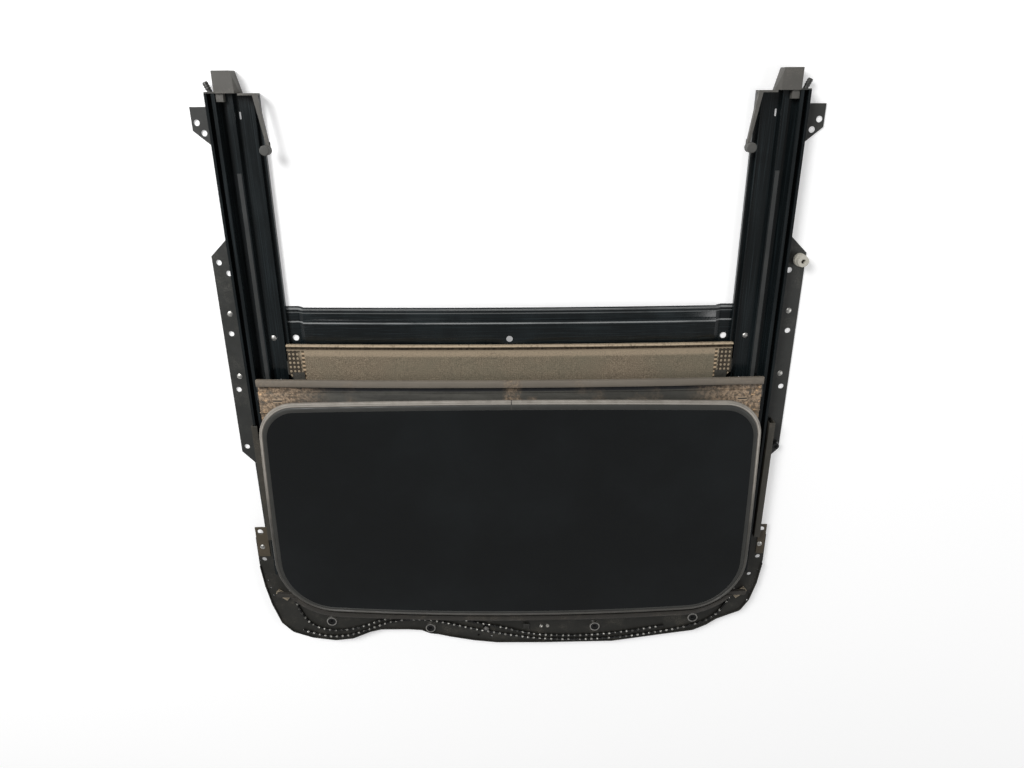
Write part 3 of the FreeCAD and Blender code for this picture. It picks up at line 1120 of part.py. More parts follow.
def deflector_pivot():
    """A block on the rail's floor with the pin that the deflector's arm turns on."""
    half = PIVOT_BLOCK_LENGTH / 2
    block = box(PIVOT_BLOCK_X, (DEFLECTOR_PIVOT_Y - half, DEFLECTOR_PIVOT_Y + half), (rail_floor, DEFLECTOR_PIVOT_Z + DEFLECTOR_EYE_R))
    pin = pin_across((PIVOT_BLOCK_X[1] - 1, DEFLECTOR_ARM_X[1] + 1.5), DEFLECTOR_PIVOT_Y, DEFLECTOR_PIVOT_Z, DEFLECTOR_PIN_R)
    return block.fuse(pin).removeSplitter()


def both_sides(shape):
    return [shape, mirrored(shape)]


def rivets():
    """All rivets: rail to cross member, flange, and side plates."""
    group = both_sides(rivet(cross_rivet_x, CROSS_HOLE_Y, 0.2, rail_floor))
    for x, y in FLANGE_RIVETS:
        group += both_sides(rivet(x, y, 0.2, SHEET))
    group += both_sides(rivet(SIDE_HOLE_X, SIDE_RIVET_Y, frame_low, FRAME_TOP + SIDE_PLATE))
    return Part.makeCompound(group)


def routes():
    """The two cables' routes, from the left and the right carriage."""
    start_y = LUG_FRONT_Y - 0.3
    front_run, rear_run = mesh_points(-1), mesh_points(1)
    left = [(drive_channel_x, start_y), (drive_channel_x, RAIL_FRONT_Y - 3)] + list(LEFT_ROUTE_A)
    left += [tuple(front_run[1])[:2], tuple(front_run[0])[:2]] + list(LEFT_ROUTE_B)
    right = [(-drive_channel_x, start_y), (-drive_channel_x, RAIL_FRONT_Y - 3)] + list(RIGHT_ROUTE_A)
    right += [tuple(rear_run[0])[:2], tuple(rear_run[1])[:2]] + list(RIGHT_ROUTE_B)
    return left, right


def main():
    os.makedirs("parts", exist_ok=True)
    write_pair("guide_rail", guide_rail())
    write_pair("slide_strip", slide_strip())
    write("rear_cross_member", rear_cross_member())
    write_pair("side_flange", side_flange())
    write_pair("rear_bracket", rear_bracket())
    write_pair("rail_end_cap", rail_end_cap())
    write_pair("drain_nipple", drain_nipple())
    write_pair("end_stop_arm", end_stop_arm())
    write_pair("stop_buffer", stop_buffer())
    write("front_frame", front_frame())
    write("front_side_plate_left", side_plate(SIDE_PLATE_LEFT_X))
    write("front_side_plate_right", mirrored(side_plate(SIDE_PLATE_RIGHT_X)))
    write("frame_bushes", Part.makeCompound([frame_bush(x, y) for x, y in BUSHES]))
    write("bush_rings", Part.makeCompound([bush_ring(x, y) for x, y in BUSHES]))
    write("corner_foam_pads", Part.makeCompound([foam_pad(1, PAD_ANGLE), foam_pad(-1, -PAD_ANGLE)]))
    write("locating_peg", locating_peg())
    write("adjuster_bush", adjuster_bush())
    write("flange_knob", flange_knob())
    write("cable_cover_left", cable_cover(*COVER_LEFT_X))
    write("cable_cover_right", mirrored(cable_cover(*COVER_RIGHT_X)))
    write("rivets", rivets())
    left, right = routes()
    write("drive_cable_left", drive_cable("left cable", left))
    write("drive_cable_right", drive_cable("right cable", right))
    write("drive_pinion", drive_pinion())
    write("motor_housing", motor_housing())
    write("motor_can", motor_can())
    write("motor_screws", Part.makeCompound([screw(x, y) for x, y in SCREWS]))
    write("frame_clip", frame_clip())
    write_pair("carriage", carriage())
    write("rear_gutter", rear_gutter())
    write_pair("gutter_end", gutter_end())
    write("glass_pane", glass_pane())
    write("glass_seal", glass_seal())
    write_pair("glass_bracket", glass_bracket())
    write_pair("lift_lever", lift_lever())
    write("sunshade_panel", sunshade_panel())
    write("shade_lip", shade_lip())
    write("shade_shoes", Part.makeCompound([shape for y in SHOE_Y for shape in both_sides(shade_shoe(y))]))
    write("shade_clips", Part.makeCompound(both_sides(shade_clip())))
    write("deflector_bar", deflector_bar())
    write_pair("deflector_arm", deflector_arm())
    write_pair("deflector_pivot", deflector_pivot())


main()
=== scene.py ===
import json
import math

import bpy
import numpy as np
from mathutils import Matrix, Vector


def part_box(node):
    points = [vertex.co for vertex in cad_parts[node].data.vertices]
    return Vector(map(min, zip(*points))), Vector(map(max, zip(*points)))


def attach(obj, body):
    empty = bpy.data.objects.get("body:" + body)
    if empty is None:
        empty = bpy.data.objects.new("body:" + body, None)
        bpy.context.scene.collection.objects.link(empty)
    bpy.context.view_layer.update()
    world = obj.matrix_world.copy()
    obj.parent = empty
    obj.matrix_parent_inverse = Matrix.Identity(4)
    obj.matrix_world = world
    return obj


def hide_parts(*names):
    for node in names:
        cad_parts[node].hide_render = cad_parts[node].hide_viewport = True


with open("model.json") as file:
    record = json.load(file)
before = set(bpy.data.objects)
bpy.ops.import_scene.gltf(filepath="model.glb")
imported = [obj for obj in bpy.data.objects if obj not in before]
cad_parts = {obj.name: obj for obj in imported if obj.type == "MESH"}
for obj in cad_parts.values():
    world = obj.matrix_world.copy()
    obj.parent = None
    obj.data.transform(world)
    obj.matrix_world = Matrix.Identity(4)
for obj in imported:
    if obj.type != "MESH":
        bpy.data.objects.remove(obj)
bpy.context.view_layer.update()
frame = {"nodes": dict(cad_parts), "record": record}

bl_info = {
    "name": "Car Sunroof Looks",
    "version": (1, 0, 0),
    "blender": (4, 5, 0),
    "location": "3D View > Sidebar > Sunroof",
    "description": "Finishes, cables, seal and sunshade of a sliding car sunroof",
    "category": "Object",
}

MM = 0.001
CROWN_RADIUS = 7800.0
NODES = frame["nodes"]

# The glass's outline in plan, in millimetres: its corners, the bow of its sides and its corner radii.
REAR_CORNER = (428.5, 9.7)
FRONT_CORNER = (436.0, -411.5)
REAR_BOW_Y = 18.7
FRONT_BOW_Y = -421.5
SIDE_BOW_X = 434.75
REAR_RADIUS = 68.0
FRONT_RADIUS = 108.0

# The seal: how far it reaches in, how far the pane lies ahead, and its section.
# Each section point is a share of the way in from the outside, and a level in millimetres.
SEAL_REACH = 13.0
PANE_AHEAD = 3.7
SEAL_SECTION = (
    (0.04, 54.6), (0.0, 55.4), (0.0, 58.2), (0.05, 60.0), (0.13, 60.8), (0.22, 61.0), (0.31, 60.8),
    (0.39, 60.1), (0.44, 59.2), (0.47, 59.1), (0.51, 59.7), (0.58, 60.3), (0.75, 60.45), (0.93, 60.3),
    (1.0, 60.05), (1.0, 54.6),
)

# The sunshade's rolled lip: distances from its rear edge and levels, in millimetres.
LIP_REAR_Y = 104.5
LIP_SECTION = (
    (1.0, 18.3), (0.0, 19.3), (0.0, 26.0), (0.35, 27.2), (1.2, 27.9), (2.2, 27.9), (3.0, 27.1), (3.6, 25.6),
    (4.4, 23.4), (5.4, 22.6), (6.6, 22.7), (7.6, 23.8), (8.4, 25.2), (9.3, 25.7), (10.0, 25.4), (10.0, 18.3),
)
LIP_CREST_LEVEL = 26.5

# The drive cables' routes over the front frame, in metres.
CABLE_HEIGHT = 0.0146
LEFT_CABLE = (
    (0.44005, -0.2903), (0.44005, -0.355), (0.431, -0.392), (0.421, -0.424), (0.405, -0.455),
    (0.378, -0.477), (0.34, -0.4895), (0.29, -0.5005), (0.235, -0.5105), (0.175, -0.5168),
    (0.11, -0.5185), (0.048, -0.515), (-0.0167, -0.5039), (-0.0869, -0.4879), (-0.135, -0.4735),
    (-0.18, -0.466), (-0.225, -0.4685), (-0.262, -0.481), (-0.3, -0.4995), (-0.345, -0.5093),
    (-0.385, -0.503), (-0.412, -0.491),
)
RIGHT_CABLE = (
    (-0.44005, -0.2903), (-0.44005, -0.355), (-0.428, -0.392), (-0.418, -0.425), (-0.41, -0.452),
    (-0.395, -0.477), (-0.368, -0.491), (-0.335, -0.4935), (-0.295, -0.485), (-0.258, -0.4685),
    (-0.22, -0.4595), (-0.17, -0.457), (-0.125, -0.4615), (-0.0833, -0.4721), (-0.0131, -0.4881),
    (0.03, -0.5025), (0.08, -0.5083), (0.14, -0.5085), (0.2, -0.5035), (0.25, -0.495),
    (0.3, -0.485),
)

# Where the finishes change, in metres. A pair is where a change starts and where it ends.
HEM_EDGE = (0.0385, 0.0405)
STRIP_EDGE = (0.0362, 0.0374)
GROOVE_EDGE = (0.0268, 0.0292)
STAINED_ENDS = (0.29, 0.39)
BRIGHT_RUST = (0.38, 0.42)
MIDDLE_STAIN_X = 0.0045
SECOND_STAIN_X = 0.0375
SLIT_X = 0.396
SLIT_Y = 0.0095
SHADE_TURNED_EDGE = (0.082, 0.088)
SHADE_DOTTED_ENDS = (0.351, 0.353)
SHADE_DOT_ROW_X = 0.3478
# Where the seal's bead turns pale towards the rear, from dust and painted light.
SEAL_LIT_AND_DUSTY = (-0.33, -0.01)
SEAL_BREAK_X = 0.0025
GLINT_SPACING = 0.0115

# Painted highlight lines across the cross member, where the light catches its folded and beaded edges: each
# one's Y, half its width, and how strong it is.
HIGHLIGHT_LINES = (
    (0.1635, 0.0024, 0.75),
    (0.1572, 0.0012, 0.3),
    (0.1408, 0.0016, 0.8),
    (0.0775, 0.001, 0.3),
)

# Edge rounding: how near points are welded, how flat faces are joined and how sharp edges are rounded.
WELD_REACH = 0.00001
FLAT_DEGREES = 0.5
SHARP_DEGREES = 50

# The stage, in metres, watts and degrees. The focus is in pixels of an image 1024 pixels wide.
FLOOR_HALF = 6.0
FLOOR_DROP = 0.0005
FLOOR_COLOUR = (0.8, 0.8, 0.8, 1)
FLOOR_GLOW = 0.34
LAMPS = (
    ("lamp_main", (-1.7, 1.9, 2.4), 1.5, 98),
    ("lamp_across", (2.6, -0.2, 1.9), 1.2, 16),
)
SKY_HEIGHTS = (0.12, 0.45)
SKY_STRENGTHS = (1.0, 0.26)
CAMERA_PLACE = (0.0037, 0.5053, 1.1922)
CAMERA_FORWARD = (0, -0.3737, -0.9276)
CAMERA_UP = (0, 0.9276, -0.3737)
CAMERA_ROLL = -0.35
FOCUS_PIXELS = 740
IMAGE_WIDTH = 1024
SENSOR_WIDTH = 36


def colour(name, default, text):
    """A colour property with three channels."""
    return bpy.props.FloatVectorProperty(
        name=name, description=text, default=default, size=3, min=0, max=1, subtype="COLOR")


def length(name, default, text):
    """A length property in metres."""
    return bpy.props.FloatProperty(
        name=name, description=text, default=default, min=0, unit="LENGTH", precision=4)


class SunroofColours(bpy.types.PropertyGroup):
    """Colours of the sunroof's finishes."""
    rail: colour("Rails", (0.005, 0.0075, 0.0085), "Gloss black of rails and cross member")
    strip: colour("Slide strips", (0.03, 0.032, 0.032), "Grey strips on the rails")
    flange: colour("Flanges", (0.026, 0.027, 0.025), "Dull coated sheet of the flanges")
    cap: colour("End caps", (0.085, 0.081, 0.073), "Moulded end caps and stop arms")
    frame: colour("Front frame", (0.02, 0.0195, 0.0165), "Moulded front frame")
    cover: colour("Cable covers", (0.04, 0.037, 0.03), "Moulded cable covers")
    plate: colour("Side plates", (0.066, 0.053, 0.035), "Stained side plates")
    gutter: colour("Gutter", (0.055, 0.053, 0.045), "Dull metal of the gutter")
    edge: colour("Gutter edge", (0.15, 0.13, 0.105), "Raised strip along the gutter")
    dirt: colour("Dirt", (0.36, 0.26, 0.17), "Dust and rust in the gutter's corners")
    seal: colour("Seal", (0.03, 0.03, 0.027), "Rubber round the glass")
    glass: colour("Glass", (0.003, 0.0038, 0.0042), "Dark glass")
    shade: colour("Sunshade", (0.2, 0.16, 0.112), "Fibre cloth of the sunshade")
    deflector: colour("Deflector", (0.03, 0.027, 0.023), "Moulded wind deflector")
    foam: colour("Foam", (0.38, 0.32, 0.24), "Foam pads")
    adjuster: colour("Adjuster", (0.5, 0.48, 0.42), "Natural plastic of the height adjuster")


class SunroofSizes(bpy.types.PropertyGroup):
    """Sizes of the details that the solids leave out."""
    cable_pitch: length("Cable pitch", 0.0034, "Advance of the wound wire for one turn")
    cable_core: length("Cable core", 0.0018, "Radius of the cable under the wound wire")
    cable_radius: length("Cable radius", 0.0025, "Radius over the wound wire")
    edge_radius: length("Edge radius", 0.0004, "Rounding of pressed and moulded edges")


def crowned(level, x):
    """The height of a level at a distance from the middle: a circle of the roof's crown radius grown by
    the level."""
    return np.sqrt((CROWN_RADIUS + level) ** 2 - x * x) - CROWN_RADIUS


def circle_through(first, middle, last):
    """The centre and radius of the circle through three points."""
    a, b, c = (np.array(point, float) for point in (first, middle, last))
    rows = np.array([b - a, c - a]) * 2
    squares = np.array([b @ b - a @ a, c @ c - a @ a])
    centre = np.linalg.solve(rows, squares)
    return centre, np.linalg.norm(a - centre)


def corner_centre(first, second, radius, near):
    """The centre of a circle that touches two larger circles from inside: at each circle's radius less
    its own from their centres, on the side that is nearer to the corner."""
    (a, large), (b, other) = first, second
    reach, across = large - radius, other - radius
    gap = np.linalg.norm(b - a)
    along = (reach ** 2 - across ** 2 + gap ** 2) / (2 * gap)
    height = math.sqrt(reach ** 2 - along ** 2)
    axis = (b - a) / gap
    side = np.array([-axis[1], axis[0]])
    choices = [a + axis * along + side * height * sign for sign in (-1, 1)]
    return min(choices, key=lambda point: np.linalg.norm(point - np.array(near)))


def outline(inset, steps=40):
    """The glass's outline drawn in by a distance, in millimetres, from the middle of the rear side round
    by the left: each side and corner is an arc, and a point of an arc is its centre plus its radius less
    the inset, at an angle that runs evenly between the lines through the neighbouring centres."""
    left_rear, left_front = np.array(REAR_CORNER), np.array(FRONT_CORNER)
    flip = np.array([-1.0, 1.0])
    middle = (left_rear[1] + left_front[1]) / 2
    rear = circle_through(left_rear, (0, REAR_BOW_Y), left_rear * flip)
    front = circle_through(left_front, (0, FRONT_BOW_Y), left_front * flip)
    left = circle_through(left_rear, (SIDE_BOW_X, middle), left_front)
    rear_corner = (corner_centre(rear, left, REAR_RADIUS, left_rear), REAR_RADIUS)
    front_corner = (corner_centre(left, front, FRONT_RADIUS, left_front), FRONT_RADIUS)

    def bearing(origin, point):
        return math.atan2(*(point - origin)[::-1])

    turns = [
        (rear, math.pi / 2, bearing(rear[0], rear_corner[0])),
        (rear_corner, bearing(rear[0], rear_corner[0]), bearing(left[0], rear_corner[0])),
        (left, bearing(left[0], rear_corner[0]), bearing(left[0], front_corner[0])),
        (front_corner, bearing(left[0], front_corner[0]), bearing(front[0], front_corner[0])),
        (front, bearing(front[0], front_corner[0]), -math.pi / 2),
    ]
    parts = []
    for (centre, radius), start, end in turns:
        angle = np.linspace(start, end, steps, endpoint=False)[:, None]
        parts.append(centre + (radius - inset) * np.hstack([np.cos(angle), np.sin(angle)]))
    half = np.vstack(parts + [[front[0] + np.array([0, -(front[1] - inset)])]])
    return np.vstack([half, half[-2:0:-1] * flip])


def surface(name, points, body, slot, uv, closed_rows=False, capped=False):
    """A mesh from a grid of points: rows along the piece and columns round its section, each four
    neighbours a face. The ends are capped with one face each where asked."""
    rows, columns = points.shape[:2]
    index = np.arange(rows * columns).reshape(rows, columns)
    next_row = np.roll(index, -1, 0) if closed_rows else index[1:]
    this_row = index if closed_rows else index[:-1]
    faces = np.stack([this_row, np.roll(this_row, -1, 1), np.roll(next_row, -1, 1), next_row], -1)
    faces = faces.reshape(-1, 4).tolist()
    if capped:
        faces += [index[0][::-1].tolist(), index[-1].tolist()]
    mesh = bpy.data.meshes.new(name)
    mesh.from_pydata(points.reshape(-1, 3).tolist(), [], faces)
    layer = mesh.uv_layers.new(name="along_and_round")
    corner = np.empty(len(mesh.loops), np.int32)
    mesh.loops.foreach_get("vertex_index", corner)
    layer.data.foreach_set("uv", uv.reshape(-1, 2)[corner].astype(np.float32).ravel())
    mesh.polygons.foreach_set("use_smooth", np.ones(len(mesh.polygons), bool))
    mesh.validate()
    mesh.update()
    obj = bpy.data.objects.new(name, mesh)
    bpy.context.scene.collection.objects.link(obj)
    turned_out(obj)
    paint(obj, FINISH[slot])
    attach(obj, body)
    return obj


def turned_out(obj):
    """Turns a closed piece's faces outwards if its signed volume is negative."""
    mesh = obj.data
    mesh.calc_loop_triangles()
    corners = np.empty(len(mesh.loop_triangles) * 3, np.int32)
    mesh.loop_triangles.foreach_get("vertices", corners)
    place = np.empty(len(mesh.vertices) * 3)
    mesh.vertices.foreach_get("co", place)
    a, b, c = place.reshape(-1, 3)[corners.reshape(-1, 3)].transpose(1, 0, 2)
    if np.einsum("ij,ij->i", a, np.cross(b, c)).sum() < 0:
        mesh.flip_normals()
        mesh.update()


def spline_points(name, route, height):
    """Points of the smooth line that a route's points steer, which it meets at its two ends."""
    curve = bpy.data.curves.new(name, "CURVE")
    curve.dimensions = "3D"
    curve.resolution_u = 24
    spline = curve.splines.new("NURBS")
    spline.points.add(len(route) - 1)
    spline.points.foreach_set("co", [value for x, y in route for value in (x, y, height, 1.0)])
    spline.order_u = 3
    spline.use_endpoint_u = True
    holder = bpy.data.objects.new(name, curve)
    line = bpy.data.meshes.new_from_object(holder)
    place = np.empty(len(line.vertices) * 3)
    line.vertices.foreach_get("co", place)
    bpy.data.objects.remove(holder)
    bpy.data.meshes.remove(line)
    bpy.data.curves.remove(curve)
    return place.reshape(-1, 3)


def even_steps(points, step):
    """A line's points set at even steps of its length."""
    lengths = np.concatenate([[0], np.cumsum(np.linalg.norm(np.diff(points, axis=0), axis=1))])
    keep = np.concatenate([[True], np.diff(lengths) > 1e-7])
    at = np.linspace(0, lengths[-1], int(lengths[-1] / step) + 1)
    return at, np.stack([np.interp(at, lengths[keep], points[keep, i]) for i in range(3)], -1)


def wound_cable(name, route, node, sizes):
    """A wound cable: a tube about its line, whose radius at a length s and an angle a is the core's,
    plus the wire's height over the core times (1 + cos(2 pi s / pitch - a)) / 2 to the power of 1.5, so
    that a ridge winds round it."""
    at, line = even_steps(spline_points(name, route, CABLE_HEIGHT), sizes.cable_pitch / 6)
    ahead = np.gradient(line, axis=0)
    ahead /= np.linalg.norm(ahead, axis=1)[:, None]
    side = np.cross(ahead, (0.0, 0.0, 1.0))
    over = np.cross(side, ahead)
    angle = np.linspace(0, 2 * math.pi, 12, endpoint=False)
    phase = 2 * math.pi * at[:, None] / sizes.cable_pitch - angle
    radius = sizes.cable_core + (sizes.cable_radius - sizes.cable_core) * ((1 + np.cos(phase)) / 2) ** 1.5
    ring = np.cos(angle)[None, :, None] * side[:, None] + np.sin(angle)[None, :, None] * over[:, None]
    points = line[:, None] + radius[..., None] * ring
    uv = np.stack([np.broadcast_to(at[:, None], radius.shape),
                   np.broadcast_to(angle / (2 * math.pi), radius.shape)], -1)
    piece = surface(name, points, "unit", "cable_steel", capped=True, uv=uv)
    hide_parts(node)


def moulded_seal():
    """The seal: its section carried round the glass's outline, each point moved in by its share of the
    seal's reach and ahead by its share of the pane's, with the roof's crown."""
    share = np.array([point[0] for point in SEAL_SECTION])
    level = np.array([point[1] for point in SEAL_SECTION])
    rings = np.stack([outline(SEAL_REACH * value) - np.array([0, PANE_AHEAD * value]) for value in share], 1)
    height = crowned(level[None, :], rings[..., 0])
    points = np.concatenate([rings, height[..., None]], -1) * MM
    uv = np.stack([np.broadcast_to(np.linspace(0, 1, len(rings))[:, None], height.shape),
                   np.broadcast_to(share, height.shape)], -1)
    piece = surface("moulded_seal", points, "glass", "seal_rubber", closed_rows=True, uv=uv)
    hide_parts("glass_seal")


def rolled_lip():
    """The sunshade's rolled lip: its section carried across the shade with the roof's crown, its crest a
    little uneven as a rolled edge is, by the sum of three sines of the distance across."""
    low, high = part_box("shade_lip")
    back = np.array([point[0] for point in LIP_SECTION])
    level = np.array([point[1] for point in LIP_SECTION])
    x = np.linspace(low.x, high.x, 500)[:, None] / MM
    uneven = 0.22 * (np.sin(x / 9.7) + np.sin(x / 3.9 + 1) + 0.6 * np.sin(x / 1.7))
    crest = np.where((level > LIP_CREST_LEVEL)[None, :], uneven, 0)
    y = np.broadcast_to(LIP_REAR_Y - back[None, :], (len(x), len(back)))
    height = crowned(level[None, :] + np.minimum(crest, 0), x)
    points = np.stack([np.broadcast_to(x, y.shape), y, height], -1) * MM
    uv = np.stack([np.broadcast_to(x * MM, y.shape), np.broadcast_to(back / 10, y.shape)], -1)
    piece = surface("rolled_lip", points, "sunshade", "shade_plastic", capped=True, uv=uv)
    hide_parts("shade_lip")


class Finish:
    """A material's node tree with short ways to add nodes to it."""

    def __init__(self, name):
        self.material = bpy.data.materials.new(name)
        self.material.use_nodes = True
        self.tree = self.material.node_tree
        self.shader = self.tree.nodes["Principled BSDF"]
        self.place = self.tree.nodes.new("ShaderNodeTexCoord").outputs["Object"]

    def link(self, value, socket):
        if hasattr(value, "is_output"):
            self.tree.links.new(value, socket)
        elif socket.type == "RGBA" and len(value) == 3:
            socket.default_value = (*value, 1)
        else:
            socket.default_value = value

    def noise(self, scale, detail=3.0, rough=0.5, stretch=None, seed=0.0):
        """Value noise from 0 to 1 on object coordinates, optionally stretched."""
        node = self.tree.nodes.new("ShaderNodeTexNoise")
        node.noise_dimensions = "3D"
        node.inputs["Scale"].default_value = scale
        node.inputs["Detail"].default_value = detail
        node.inputs["Roughness"].default_value = rough
        mapping = self.tree.nodes.new("ShaderNodeMapping")
        mapping.inputs["Scale"].default_value = stretch or (1, 1, 1)
        mapping.inputs["Location"].default_value = (seed, seed * 0.7, seed * 0.3)
        self.tree.links.new(self.place, mapping.inputs["Vector"])
        self.tree.links.new(mapping.outputs[0], node.inputs["Vector"])
        return node.outputs["Fac"]

    def wave(self, scale, axis="X", distortion=0.0):
        """Bands across an axis of the object coordinates."""
        node = self.tree.nodes.new("ShaderNodeTexWave")
        node.bands_direction = axis
        node.inputs["Scale"].default_value = scale
        node.inputs["Distortion"].default_value = distortion
        self.tree.links.new(self.place, node.inputs["Vector"])
        return node.outputs["Fac"]

    def across(self, letter):
        """One coordinate of the piece's own UV map."""
        node = self.tree.nodes.new("ShaderNodeSeparateXYZ")
        self.tree.links.new(self.tree.nodes["Texture Coordinate"].outputs["UV"], node.inputs[0])
        return node.outputs[letter]

    def axis(self, letter):
        """One object coordinate in metres."""
        node = self.tree.nodes.new("ShaderNodeSeparateXYZ")
        self.tree.links.new(self.place, node.inputs[0])
        return node.outputs[letter]

    def sum(self, kind, a, b=0.0):
        """Two values put together by a named operation."""
        node = self.tree.nodes.new("ShaderNodeMath")
        node.operation = kind
        self.link(a, node.inputs[0])
        self.link(b, node.inputs[1])
        return node.outputs[0]

    def band(self, value, low, high, start=0.0, end=1.0):
        """A value mapped from one range to another, clamped at both ends."""
        node = self.tree.nodes.new("ShaderNodeMapRange")
        node.interpolation_type = "SMOOTHSTEP"
        for socket, number in zip(node.inputs[1:5], (low, high, start, end)):
            socket.default_value = number
        self.link(value, node.inputs[0])
        return node.outputs[0]

    def mix(self, factor, first, second):
        """Two colours mixed by a factor."""
        node = self.tree.nodes.new("ShaderNodeMix")
        node.data_type = "RGBA"
        self.link(factor, node.inputs[0])
        self.link(first, node.inputs[6])
        self.link(second, node.inputs[7])
        return node.outputs[2]

    def bump(self, height, strength, distance, under=None):
        """A bump of a real depth, on top of another one."""
        node = self.tree.nodes.new("ShaderNodeBump")
        node.inputs["Strength"].default_value = strength
        node.inputs["Distance"].default_value = distance
        self.link(height, node.inputs["Height"])
        if under:
            self.tree.links.new(under, node.inputs["Normal"])
        return node.outputs[0]

    def set(self, **sockets):
        """Values or links for the shader's sockets, by name with underscores."""
        for name, value in sockets.items():
            self.link(value, self.shader.inputs[name.replace("_", " ")])
        return self


def shaded(base, factor):
    """A colour made lighter or darker by a factor."""
    return tuple(min(1.0, channel * factor) for channel in base)


def dusty(name, base, rough, dust=(0.2, 0.175, 0.14), amount=0.35, grain=900.0):
    """A moulded or coated surface: mottled colour, fine grain, and dust in soft patches."""
    f = Finish(name)
    mottle = f.mix(f.noise(9, 5, 0.6), shaded(base, 0.72), shaded(base, 1.3))
    patches = f.sum("MULTIPLY", f.band(f.noise(26, 6, 0.65, seed=3), 0.48, 0.72),
                    f.band(f.noise(420, 3, 0.6), 0.35, 0.7))
    dirty = f.mix(f.sum("MULTIPLY", patches, amount), mottle, dust)
    specks = f.band(f.noise(1500, 1, 0.5, seed=7), 0.7, 0.78)
    f.set(Base_Color=f.mix(f.sum("MULTIPLY", specks, amount), dirty, shaded(dust, 1.4)),
          Roughness=f.band(f.noise(60, 4), 0.3, 0.75, rough - 0.07, rough + 0.12),
          Normal=f.bump(f.noise(grain, 2, 0.6), 0.35, 0.00012))
    return f


def gloss_black(name, base, along, highlight_lines=()):
    """A gloss black coating on an extrusion: faint draw lines along it, light smears, and pale painted
    highlight lines where the sheet is folded or beaded."""
    f = Finish(name)
    stretch = (1, 0.012, 1) if along == "Y" else (0.012, 1, 1)
    lines = f.noise(520, 2, 0.6, stretch=stretch)
    smears = f.noise(14, 5, 0.6, stretch=(1, 0.35, 1), seed=2)
    body = f.mix(f.band(smears, 0.35, 0.8), shaded(base, 0.7), shaded(base, 1.7))
    body = f.mix(f.sum("MULTIPLY", f.band(lines, 0.45, 0.75), 0.6), body, shaded(base, 3.4))
    # Each listed line is a painted highlight: a pale band across the coating where the light catches an edge.
    for place, half, strength in highlight_lines:
        near = f.band(f.sum("ABSOLUTE", f.sum("SUBTRACT", f.axis("Y"), place)), half * 0.5, half, strength, 0)
        uneven = f.band(f.noise(60, 4, 0.6, stretch=(0.2, 1, 1), seed=6), 0.25, 0.5, 0.45, 1)
        body = f.mix(f.sum("MULTIPLY", near, uneven), body, (0.3, 0.31, 0.31))
    specks = f.band(f.noise(1300, 1, 0.5, seed=5), 0.73, 0.79)
    rough = f.sum("ADD", f.sum("MULTIPLY", smears, 0.6), f.sum("MULTIPLY", lines, 0.4))
    f.set(Base_Color=f.mix(f.sum("MULTIPLY", specks, 0.4), body, (0.11, 0.11, 0.1)),
          Roughness=f.band(rough, 0.3, 0.75, 0.14, 0.38), Normal=f.bump(lines, 0.14, 0.00008),
          Specular_IOR_Level=0.42)
    return f


def worn_metal(name, base, rough):
    """Plated or bare metal: brushed, with dull spots."""
    f = Finish(name)
    dull = f.band(f.noise(160, 5, 0.65), 0.4, 0.7)
    f.set(Base_Color=f.mix(dull, base, shaded(base, 0.55)), Metallic=1.0,
          Roughness=f.band(f.noise(500, 3), 0.3, 0.7, rough, rough + 0.25),
          Normal=f.bump(f.noise(1800, 2), 0.15, 0.00006))
    return f


